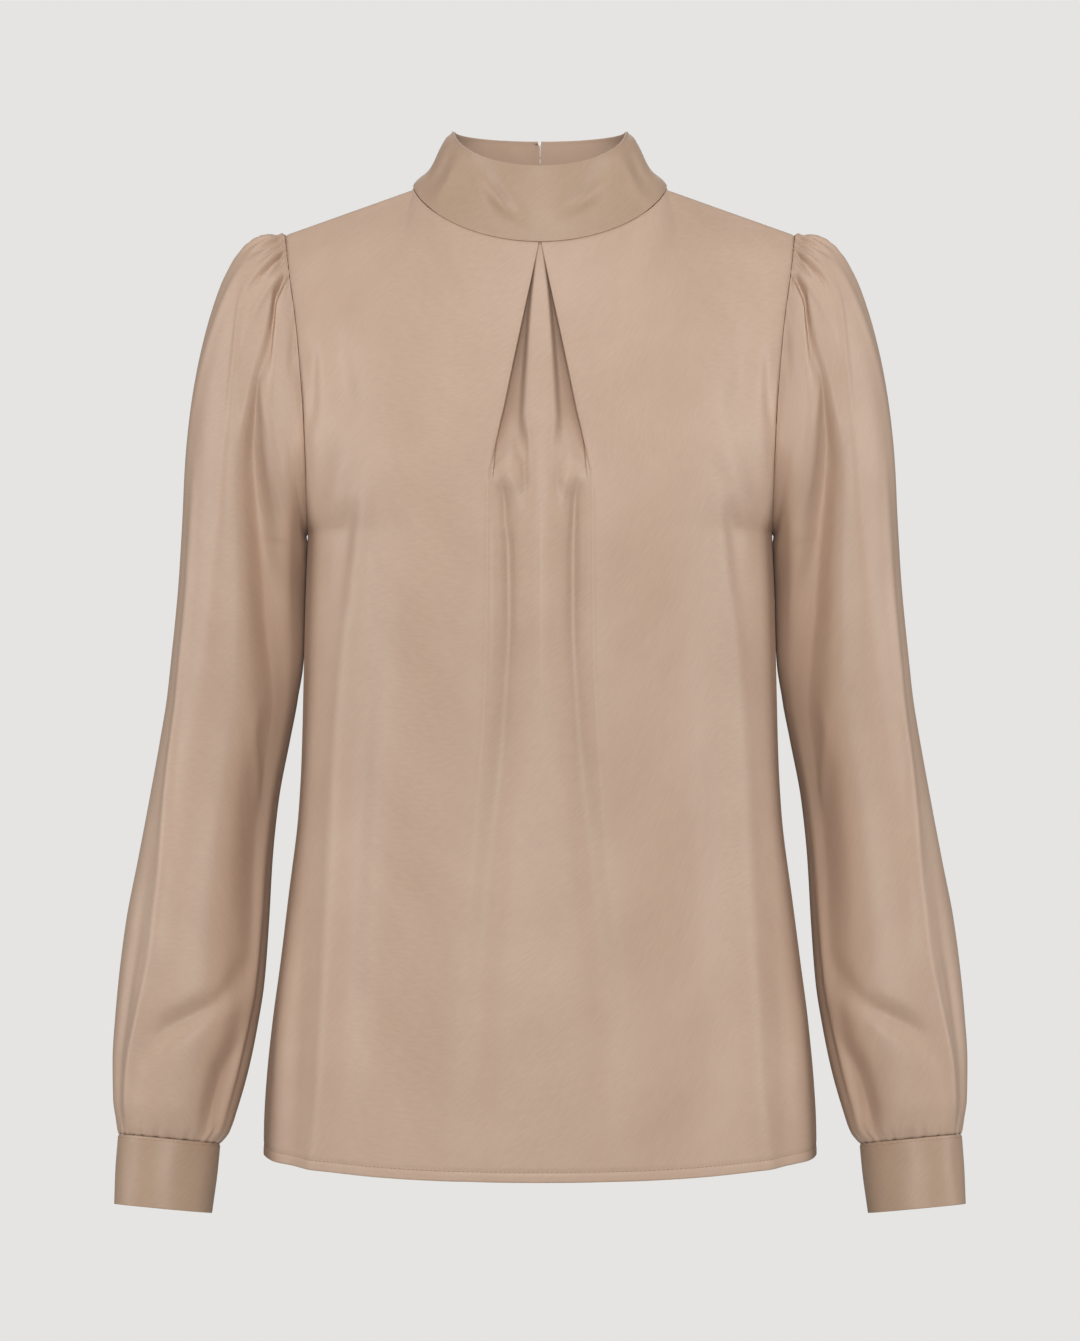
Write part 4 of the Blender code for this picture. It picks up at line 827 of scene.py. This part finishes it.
for number, height in enumerate(COLLAR_BUTTON_HEIGHTS, 1):
    foot, outward = collar_outside(-pi + COLLAR_BUTTON_INSET / COLLAR_TOP_BACK, height)
    covered_button(f"collar_covered_button_{number}", f"collar_button_{number}", COLLAR_BUTTON_RADIUS,
                   COLLAR_BUTTON_HEIGHT, SHANK_LENGTH, foot + outward * OFF_CLOTH, outward)
    bend = SHANK_RADIUS + LOOP_ROOM + LOOP_RADIUS
    leg = COLLAR_BUTTON_INSET + LOOP_REACH
    far = [(leg * s, bend * mix(1, 0.6, s)) for s in np.linspace(1, 0, 14)[:-1]]
    round_shank = [(-bend * sin(t), bend * cos(t)) for t in np.linspace(0, pi, 19)]
    path = far + round_shank + [(aside, -up) for aside, up in reversed(far)]
    cord = bpy.data.curves.new(f"collar_turned_loop_{number}", "CURVE")
    cord.dimensions = "3D"
    cord.bevel_depth, cord.bevel_resolution, cord.use_fill_caps = LOOP_RADIUS * MM, 4, True
    spline = cord.splines.new("POLY")
    spline.points.add(len(path) - 1)
    for point, (aside, up) in zip(spline.points, path):
        point.co = (*(loop_place(aside, up, height) * MM), 1.0)
    pick(add_object(f"collar_turned_loop_{number}", cord))
    bpy.ops.object.convert(target="MESH")
    loop = bpy.context.object
    loop.data.shade_smooth()
    loop.data.materials.clear()
    loop.data.materials.append(loop_crepe)
    stand_in(loop, f"collar_loop_{number}")

# Sleeves
# Long set-in sleeves, gathered over the shoulder so that the head stands up beside its seam, and tucked into
# the cuff. The gathers run into long folds down the arm; above the cuff the cloth blouses over and has a
# pressed fold on each side.
SLIT_ANGLE = 140.0
SLEEVE_SLIT_LENGTH = 60.0
SLEEVE_SLIT_GAP = 0.8
SLEEVE_POWER = 2.2  # above 2 makes the sleeve's sections squarer than an ellipse
BICEP_DROP = 236.0
WRIST_DROP = 633.0
SLEEVE_PUFF = 2.4
PUFF_ANGLE = 70.0  # the thread at its middle
SLEEVE_UNEVENNESS = 0.06
ARM_RADIUS = 44.0  # turns angles to lengths round the sleeve
HEAD_REACH = 35.0  # how far the head stands out from its seam
HEAD_LIFT = 137.0  # how far up from the arm it is drawn
HEAD_PUCKERS = 0.55
FOOT_PUCKERS = 0.32
UNDERARM_ROOM = 0.7
EASE_REACH = 40.0  # how far above and below the armpit the form is eased
EASE_SHARES = np.linspace(-1, 1, 9)
SLEEVE = table(
    "drop outer inner front back lean_out lean_forward",
    (236, 238.9, 159.4, -54, 62, 0, 0), (275, 242.4, 160.2, -53, 61, 0, 0),
    (318, 246.9, 161.2, -51, 60, 0, 0), (340, 249.4, 163.6, -49, 59, 0, 0), (368, 254, 169, -47, 58, 0, 0),
    (409, 261.4, 176.8, -46, 57, 0, 0.01), (449, 268.7, 180.8, -48, 55, 0.01, 0.02),
    (489, 276.1, 182.8, -51, 52, 0.02, 0.04), (529, 280.8, 185.5, -54, 47, 0.04, 0.06),
    (556, 282.9, 189.5, -56, 42, 0.05, 0.08), (583, 284.2, 194.9, -57.5, 36, 0.07, 0.1),
    (610, 283.5, 202.3, -57.5, 28, 0.08, 0.12), (625, 281, 207.5, -55.5, 20, 0.09, 0.13),
    (633, 279.2, 213.8, -52.7, 12.7, 0.095, 0.13),
)
FAN = table(
    "arm seam",
    (-90, -90), (-62, -30), (-35, 30), (-13, 61), (12, 75), (45, 86), (90, 97), (130, 109), (165, 123),
    (190, 150), (225, 210), (270, 270),
)
GATHERS = table(  # the thread that each follows, how deep and wide it is, and where along the sleeve it ends
    "arm depth width reach",
    (-34, 1.2, 4, 0.14), (17, 1.4, 2.5, 0.14), (31, 5.4, 3.6, 0.32), (46, 2.6, 3.4, 0.22), (62, 4, 4, 0.26),
    (76, 2.6, 4, 0.3), (88, 1.3, 4, 0.18), (102, 2.4, 5.5, 0.42), (118, 1.5, 4.5, 0.22),
    (134, 2.8, 5.5, 0.55), (149, 1.4, 4.5, 0.25), (166, 3.2, 6.5, 1.3), (184, 1.2, 5, 0.16),
)
SLEEVE_FOLDS = [table("along angle height width", *rows) for rows in (
    ((0.8, 46, 0, 5), (1, 48, 1.4, 5), (1.2, 48, 2, 4.5), (1.35, 44, 2.2, 4.5), (1.43, 39, 2.2, 5),
     (1.58, 28, 2.8, 6), (1.68, 26, 3, 6), (1.77, 31, 3, 5), (1.88, 39, 3, 5), (1.96, 44, 1.6, 5),
     (2, 48, 0, 5)),
    ((1.4, 56, 0, 8), (1.65, 48, -1.8, 7), (1.8, 54, -2.6, 6), (1.93, 60, -1.8, 6), (2, 60, 0, 6)),
    ((0, -9, 0, 2.5), (0.05, 0, -5, 3), (0.11, 0, -7.5, 3.2), (0.16, -8, -6.5, 3.4), (0.24, -16, -3.6, 4),
     (0.36, -21, 0, 4.8)),
    ((0.05, 22, 0, 3), (0.11, 22, 1.6, 3.5), (0.29, 36, 1.2, 5), (0.36, 28, 1.6, 5), (0.43, 18, 1.8, 5),
     (0.63, 6, 2, 6), (0.91, 9, 1.6, 7), (1.09, 16, 1.2, 8), (1.3, 20, 0, 9)),
    ((0.05, 8, 0, 3), (0.12, 10, 1.4, 3), (0.28, 12, 1.8, 4), (0.41, 9, 1.2, 5), (0.5, 7, 0, 5)),
    ((0.3, -50, 0, 6), (0.5, -51, 1.4, 6), (0.8, -51, 1.4, 6), (1.07, -52, 0.9, 6), (1.2, -58, 0.4, 6),
     (1.4, -62, 1, 6), (1.6, -60, 2, 5.5), (1.74, -57, 3.2, 5), (1.87, -54, 3.2, 5), (1.95, -56, 1.6, 5),
     (2, -62, 0, 5)),
    ((1.26, -24, 0, 4), (1.32, -27, 1.2, 3.5), (1.39, -38, 1.4, 3.5), (1.46, -46, 0, 4)),
    ((1.69, -46, 0, 9), (1.755, -34, -4, 10), (1.785, -14, -5.2, 11), (1.81, 2, -4.6, 10),
     (1.84, 14, -2.8, 9), (1.89, 24, 0, 8)),
    ((0.15, 60, 0, 6), (0.4, 58, 1.2, 5), (0.7, 62, 1, 6), (1.1, 70, 0, 8)),
    ((0.5, -90, 0, 12), (1, -90, 2.1, 14), (1.16, -90, 2.1, 14), (1.26, -90, 0, 12)),
    ((1.2, 150, 0, 12), (1.45, 165, -2.6, 11), (1.6, 185, -3, 11), (1.8, 205, 0, 12)),
    ((1.1, 190, 0, 10), (1.35, 195, 2, 10), (1.5, 212, 2.2, 10), (1.7, 230, 0, 10)),
    ((1.6, 170, 0, 9), (1.8, 176, 2.8, 8), (1.93, 178, 2.4, 7), (2, 178, 0, 7)),
    ((1.6, 215, 0, 9), (1.8, 210, 2.6, 8), (1.93, 206, 2.2, 7), (2, 206, 0, 7)),
)]
# How far the cloth is turned in, to the back, between the front of the sleeve and its inner side
SLEEVE_TURNED_IN = table(
    "along angle depth outer inner",
    (0.2, -13, 0, 4, 4), (0.36, -15, 4, 4.5, 8), (0.47, -18, 8, 5, 10), (0.68, -20, 12, 6.5, 12),
    (1, -22, 13.5, 8, 13), (1.1, -25, 16, 9, 22), (1.2, -33, 18, 11, 36), (1.3, -43, 18, 13, 46),
    (1.43, -48, 18, 14, 50), (1.56, -50, 16.5, 14, 46), (1.69, -56, 13, 16, 36), (1.77, -60, 11.5, 12, 26),
    (1.83, -54, 12, 11, 26), (1.89, -40, 13, 8, 30), (1.94, -38, 12, 7, 30), (2, -40, 0, 8, 20),
)


def around_armhole(angle):
    """Point of the armhole seam at an angle: 90 the shoulder, 0 the front, 180 the back, 270 the armpit."""
    angle = (angle + 90) % 360 - 90
    down = np.abs(angle - 90) / 180
    return np.where((angle < 90)[..., None], armhole("front", down), armhole("back", down))


def ring(centre, outward, front, back, angle):
    """Point of a squarish round section: angle 0 is its front, 90 its outside."""
    across, ahead = np.sin(np.radians(angle)), np.cos(np.radians(angle))
    power = 2 / SLEEVE_POWER
    x = centre + outward * np.sign(across) * np.abs(across) ** power
    centre_y, depth = (front + back) / 2, (back - front) / 2
    return x, centre_y - depth * np.sign(ahead) * np.abs(ahead) ** power


def arm_point(angle, drop):
    """Point of the sleeve's smooth form below the armhole."""
    outer, inner, front, back, lean_out, lean_forward = row_at(SLEEVE, "drop", drop).values()
    centre, half = (outer + inner) / 2, (outer - inner) / 2
    x, y = ring(centre, half, front, back, angle)
    tilt = lean_out * (x - centre) - lean_forward * (y - (front + back) / 2)
    return np.stack((x, y, tilt - drop), axis=-1)


def sleeve_point(angle, along):
    """Point of the sleeve's smooth form: 0 is the armhole seam, 1 the upper arm and 2 the wrist."""
    upper = arm_point(angle, np.full_like(angle, BICEP_DROP))
    seam = around_armhole(angle)
    height = (1 + np.sin(np.radians(angle))) / 2
    room = SEAM_OPENING + UNDERARM_ROOM * (1 - height) ** 3
    seam = seam + np.stack((room, 0 * height, 0 * height), axis=-1)
    up = 0.2 * height ** 3 - 0.9 * (1 - height) ** 2
    away = unit(np.stack((height ** 0.5, -0.22 * np.cos(np.radians(angle)), up), axis=-1))
    first = seam + away * (2 + HEAD_REACH * height ** 1.3)[..., None]
    second = upper + np.stack((0 * height, 0 * height, 2 + HEAD_LIFT * height ** 1.5), axis=-1)
    t = np.clip(along, 0, 1)[..., None]
    cap = (1 - t) ** 3 * seam + 3 * t * (1 - t) ** 2 * first + 3 * t * t * (1 - t) * second + t ** 3 * upper
    arm = arm_point(angle, mix(BICEP_DROP, WRIST_DROP, np.clip(along - 1, 0, 1)))
    return np.where((along <= 1)[..., None], cap, arm)


def turn_between(first, second):
    """Smallest turn from one angle to another, in degrees."""
    return (first - second + 180) % 360 - 180


def fanned(arm, along):
    """Angle on the sleeve's form of a thread that reaches the upper arm at another angle."""
    arm = (arm + 90) % 360 - 90
    return mix(read(FAN, "arm", "seam", arm), arm, np.clip(along, 0, 1) ** 0.6)


def puckers(thread, along):
    """Small uneven puckers where the gathers are sewn in, and less so where the sleeve goes into the cuff."""
    head = np.exp(-(along / 0.035) ** 2) * np.exp(-(turn_between(thread, PUFF_ANGLE) / 85) ** 2)
    wave = np.sin(np.radians(thread) * 41 + 1.3) + 0.7 * np.sin(np.radians(thread) * 67 + 0.4)
    foot = np.exp(-((2 - along) / 0.022) ** 2)
    tucks = np.sin(np.radians(thread) * 23 + 0.9) + 0.6 * np.sin(np.radians(thread) * 37)
    return HEAD_PUCKERS * head * wave + FOOT_PUCKERS * foot * tucks


def sleeve_relief(arm, along, side):
    """Height of the gathers and folds of a sleeve, by thread and by how far along it is."""
    height = np.zeros_like(along)
    for thread, depth, width, reach in zip(*GATHERS.values()):
        window = ease(0.0, 0.05, along) * (1 - ease(0.35 * reach, reach, along))
        broad = width * (1 + 1.1 * ease(0.1, 0.9, along))
        height -= depth * window * np.exp(-(turn_between(arm, thread) / broad) ** 2)
    for fold in SLEEVE_FOLDS:
        angle, high, width = row_at(fold, "along", along).values()
        away = np.radians(turn_between(arm, angle)) * ARM_RADIUS
        height += high * np.exp(-(away / width) ** 2)
    puff = SLEEVE_PUFF * ease(0.0, 0.10, along) * (1 - ease(0.2, 0.6, along))
    height += puff * np.exp(-(turn_between(arm, PUFF_ANGLE) / 95) ** 2) + puckers(arm, along)
    return height * (1 - SLEEVE_UNEVENNESS * side)


def eased(points):
    """The sleeve's form with the corner taken out where its head runs into the upper arm."""
    length = from_edge(points, "top")
    smooth = np.zeros_like(points)
    for share in EASE_SHARES:
        place = length + share * np.minimum(EASE_REACH, length)
        for thread, axis in np.ndindex(points.shape[1:]):
            smooth[:, thread, axis] += np.interp(
                place[:, thread], length[:, thread], points[:, thread, axis])
    near = np.exp(-((points[..., 2] + BICEP_DROP) / EASE_REACH) ** 2)[..., None]
    return mix(points, smooth / len(EASE_SHARES), near)


SLEEVE_ROWS = steps((0.02, 5), (0.3, 44), (1.0, 42), (1.94, 88), (2.0, 14))
SLEEVE_THREADS = np.concatenate((
    np.linspace(SLIT_ANGLE - 360, -60, 56)[:-1], np.linspace(-60, SLIT_ANGLE, 145),
))


def sleeve_piece(side):
    """A sleeve whose slit, above the cuff, is where the grid's first and last columns meet."""
    thread, along = np.meshgrid(SLEEVE_THREADS, SLEEVE_ROWS)
    points = eased(sleeve_point(fanned(thread, along), along))
    turned, depth, outer, inner = row_at(SLEEVE_TURNED_IN, "along", along).values()
    aside = np.radians(turn_between(thread, turned)) * ARM_RADIUS
    points[..., 1] += depth * np.exp(-(aside / np.where(aside > 0, outer, inner)) ** 2)
    rise = sleeve_relief(thread, along, side) - roll(points, "top", "foot")
    points += grid_normals(points, closed_rows=np.s_[:]) * (rise + RIGHT_SIDE)[..., None]
    points[:, -1] = points[:, 0]
    closed = SLEEVE_ROWS < 2 - SLEEVE_SLIT_LENGTH / (WRIST_DROP - BICEP_DROP)
    for column, way in ((0, 1), (-1, -1)):
        beside = unit(points[~closed, column + way] - points[~closed, column])
        points[~closed, column] += beside * SLEEVE_SLIT_GAP / 2
    draw_in(points, "foot")
    return points if side == LEFT else mirrored(points), closed


for word, side in SIDES.items():
    grid, closed = sleeve_piece(side)
    sew(f"blouse_sleeve_{word}", grid, CLOTH, f"sleeve_{word}",
        closed_rows=closed)

# Cuffs
# Straight bands of two layers with an interlining, edge-stitched along the seam, which lap over at the back
# of the wrist and fasten with one covered button.
CUFF_HEIGHT = 45.5
CUFF_HALF_WIDTH_TOP = 32.7
CUFF_HALF_WIDTH_FOOT = 31.2
CUFF_LAP = 16.0
CUFF_LAP_START = 1.2  # how many laps before the slit the outer end starts to rise
CUFF_LAP_END = 0.1  # and how many laps before it the end has risen in full
CUFF_DRIFT = (3.5, -6.0)  # of its lower edge from its seam, out and forward
CUFF_DENTS = table(
    "angle down depth wide high",
    (-25, 0.35, -0.7, 9, 14), (15, 0.6, 0.5, 12, 16), (48, 0.4, -0.5, 7, 14), (90, 0.5, 0.6, 12, 18),
    (200, 0.5, -0.8, 11, 16), (262, 0.45, 0.6, 12, 18),
)
WRIST = row_at(SLEEVE, "drop", WRIST_DROP)


def cuff_frame(down):
    """Centre and half width of the cuff, from its seam at 0 to its lower edge at 1."""
    top = np.array([WRIST["outer"] + WRIST["inner"], WRIST["front"] + WRIST["back"]]) / 2
    centre = top[:, None, None] + np.array(CUFF_DRIFT)[:, None, None] * down
    return centre, mix(CUFF_HALF_WIDTH_TOP, CUFF_HALF_WIDTH_FOOT, down)


def cuff_point(angle, down, lift):
    """Point of the cuff's middle, lifted off it where the end laps over."""
    centre, half = cuff_frame(down)
    half = half + lift
    x, y = ring(centre[0], half, centre[1] - half, centre[1] + half, angle)
    tilt = WRIST["lean_out"] * (x - centre[0]) - WRIST["lean_forward"] * (y - centre[1])
    return np.stack((x, y, tilt - WRIST_DROP - CUFF_HEIGHT * down), axis=-1)


lap = degrees(CUFF_LAP / CUFF_HALF_WIDTH_TOP)
cuff_angles = SLIT_ANGLE + steps((360 - CUFF_LAP_START * lap, 150), (360 + lap, 36))
cuff_grids = {}
for word, side in SIDES.items():
    angle, down = np.meshgrid(cuff_angles, steps((0.06, 5), (0.94, 30), (1.0, 3)))
    end = SLIT_ANGLE + 360
    lift = (DOUBLED + SEAM) * ease(end - CUFF_LAP_START * lap, end - CUFF_LAP_END * lap, angle)
    grid = cuff_point(angle, down, lift)
    rise = np.full(angle.shape, DOUBLED / 2)
    for at, low, depth, wide, high in zip(*CUFF_DENTS.values()):
        aside = np.radians(turn_between(angle, at + 6 * side)) * CUFF_HALF_WIDTH_TOP
        rise += depth * np.exp(-(aside / wide) ** 2 - ((down - low) * CUFF_HEIGHT / high) ** 2)
    rise -= roll(grid, "top")
    grid += grid_normals(grid) * rise[..., None]
    draw_in(grid, "top")
    cuff_grids[word] = grid if side == LEFT else mirrored(grid)
    # The cuffs' darker crepe is painted shade.
    sew(f"blouse_cuff_{word}", cuff_grids[word], DOUBLED - SLACK, f"cuff_{word}",
        cloth=shaded_crepe, bevel=DOUBLED_EDGE)

# Cuff buttons
# One larger button covered in the crepe, sewn close to the cuff where its end laps over, comes up through a
# worked buttonhole.
CUFF_BUTTON_RADIUS = 5.0
CUFF_BUTTON_HEIGHT = 2.6
CUFF_SHANK_LENGTH = 0.6
BUTTONHOLE_HALF_LENGTH = 7.0

cuff_buttonholes = {}
for word, side in SIDES.items():
    angle = SLIT_ANGLE + 360 + degrees(0.25 * CUFF_LAP / CUFF_HALF_WIDTH_TOP)
    step = 0.1
    at, aside, low = (cuff_point(np.array(angle + a), b, DOUBLED + SEAM)[0, 0]
                      for a, b in ((0, 0.5), (step, 0.5), (0, 0.51)))
    outward = unit(np.cross(low - at, aside - at))
    outward = outward if np.dot(outward[:2], at[:2] - cuff_frame(0.5)[0][:, 0, 0]) > 0 else -outward
    foot = at + outward * (DOUBLED / 2 + OFF_CLOTH)
    across = unit(aside - at)
    foot, outward, across = (vector * (side, 1, 1) for vector in (foot, outward, across))
    cuff_buttonholes[word] = (foot, across, outward)
    covered_button(f"cuff_covered_button_{word}", f"cuff_button_{word}", CUFF_BUTTON_RADIUS,
                   CUFF_BUTTON_HEIGHT, CUFF_SHANK_LENGTH, foot, outward)

# Stitches
# The hem is turned up twice and held by one row of lockstitch, and each cuff is edge-stitched along its seam.
# Only the short runs of thread between the needle's holes lie on top of the cloth. The buttonholes are worked
# over and over.
STITCH_PITCH = 3.0
STITCH_LENGTH = 2.3
STITCH_WIDTH = 0.5
STITCH_HEIGHT = 0.16
CUFF_STITCH_AWAY = 2.0  # from the cuff's seam
BUTTONHOLE_PITCH = 0.55
BUTTONHOLE_HALF_WIDTH = 0.9
BUTTONHOLE_STITCH_LENGTH = 1.6

thread = bpy.data.materials.new("spun_polyester_thread")
thread.use_nodes = True
tree = thread.node_tree
place = add_node(tree, "TexCoord")
fuzz = add_node(tree, "TexNoise", {"Scale": 4000.0, "Detail": 2.0}, Vector=place.outputs["Object"])
strand = add_node(tree, "Mix", {"data_type": "RGBA", 6: colour("#A48670"), 7: colour("#B79A85")}, i0=fuzz)
rough = add_node(tree, "MapRange", {"To Min": 0.5, "To Max": 0.65}, Value=fuzz)
tree.links.new(strand.outputs[2], tree.nodes["Principled BSDF"].inputs["Base Color"])
tree.links.new(rough.outputs[0], tree.nodes["Principled BSDF"].inputs["Roughness"])

bpy.ops.object.select_all(action="DESELECT")
bpy.ops.mesh.primitive_uv_sphere_add(segments=6, ring_count=5, radius=1.0, location=(0, 0, 0),
                                     rotation=(0, pi / 2, 0))
pattern = bpy.context.object
bpy.ops.object.transform_apply(rotation=True)
STITCH_POINTS = np.array([tuple(vertex.co) for vertex in pattern.data.vertices])
STITCH_FACES = [tuple(face.vertices) for face in pattern.data.polygons]
bpy.data.objects.remove(pattern)


def stitches(name, places, ahead, outward, length=STITCH_LENGTH):
    """Copies of the one stitch at places on the cloth, each lying ahead, as one piece."""
    aside = unit(np.cross(outward, ahead))
    half = np.array([length / 2, STITCH_WIDTH / 2, STITCH_HEIGHT])
    points = places[:, None] + sum(STITCH_POINTS[None, :, k, None] * half[k] * way[:, None]
                                   for k, way in enumerate((ahead, aside, outward)))
    faces = [tuple(corner + number * len(STITCH_POINTS) for corner in face)
             for number in range(len(places)) for face in STITCH_FACES]
    mesh = bpy.data.meshes.new(name)
    mesh.from_pydata((points.reshape(-1, 3) * MM).tolist(), [], faces)
    mesh.shade_smooth()
    mesh.materials.append(thread)
    row = add_object(name, mesh)
    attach(row, "root")


def stitch_row(name, points, away, edge):
    """A row of stitches along a line of the cloth at a distance from one edge of its grid."""
    order = np.s_[::-1] if edge == "foot" else np.s_[:]
    reach = from_edge(points, edge)[order]
    cloth = np.concatenate((points, grid_normals(points)), axis=-1)[order]
    line = np.array([[np.interp(away, reach[:, column], cloth[:, column, k]) for k in range(6)]
                     for column in range(cloth.shape[1])])
    length = from_edge(line[None, :, :3], "start")[0]
    at = np.arange(STITCH_PITCH, length[-1] - STITCH_PITCH / 2, STITCH_PITCH)
    here, before, after = (np.stack([np.interp(at + shift, length, line[:, k]) for k in range(6)], axis=-1)
                           for shift in (0, -0.5, 0.5))
    places = here[:, :3] + here[:, 3:] * OFF_CLOTH
    stitches(name, places, unit(after[:, :3] - before[:, :3]), unit(here[:, 3:]))


stitch_row("hem_stitches_front", front_grid, HEM_DEPTH, "foot")
for word in SIDES:
    stitch_row(f"hem_stitches_back_{word}", back_grids[word], HEM_DEPTH, "foot")
    stitch_row(f"cuff_stitches_{word}", cuff_grids[word], CUFF_STITCH_AWAY, "top")
    foot, across, outward = cuff_buttonholes[word]
    run = np.arange(-BUTTONHOLE_HALF_LENGTH, BUTTONHOLE_HALF_LENGTH + 0.01, BUTTONHOLE_PITCH)
    down = np.cross(outward, across)
    rows = (-BUTTONHOLE_HALF_WIDTH, BUTTONHOLE_HALF_WIDTH)
    places = np.concatenate([foot + run[:, None] * across + row * down for row in rows])
    ways = np.broadcast_to(down, places.shape)
    stitches(f"cuff_buttonhole_{word}", places, ways, np.broadcast_to(outward, places.shape),
             length=BUTTONHOLE_STITCH_LENGTH)
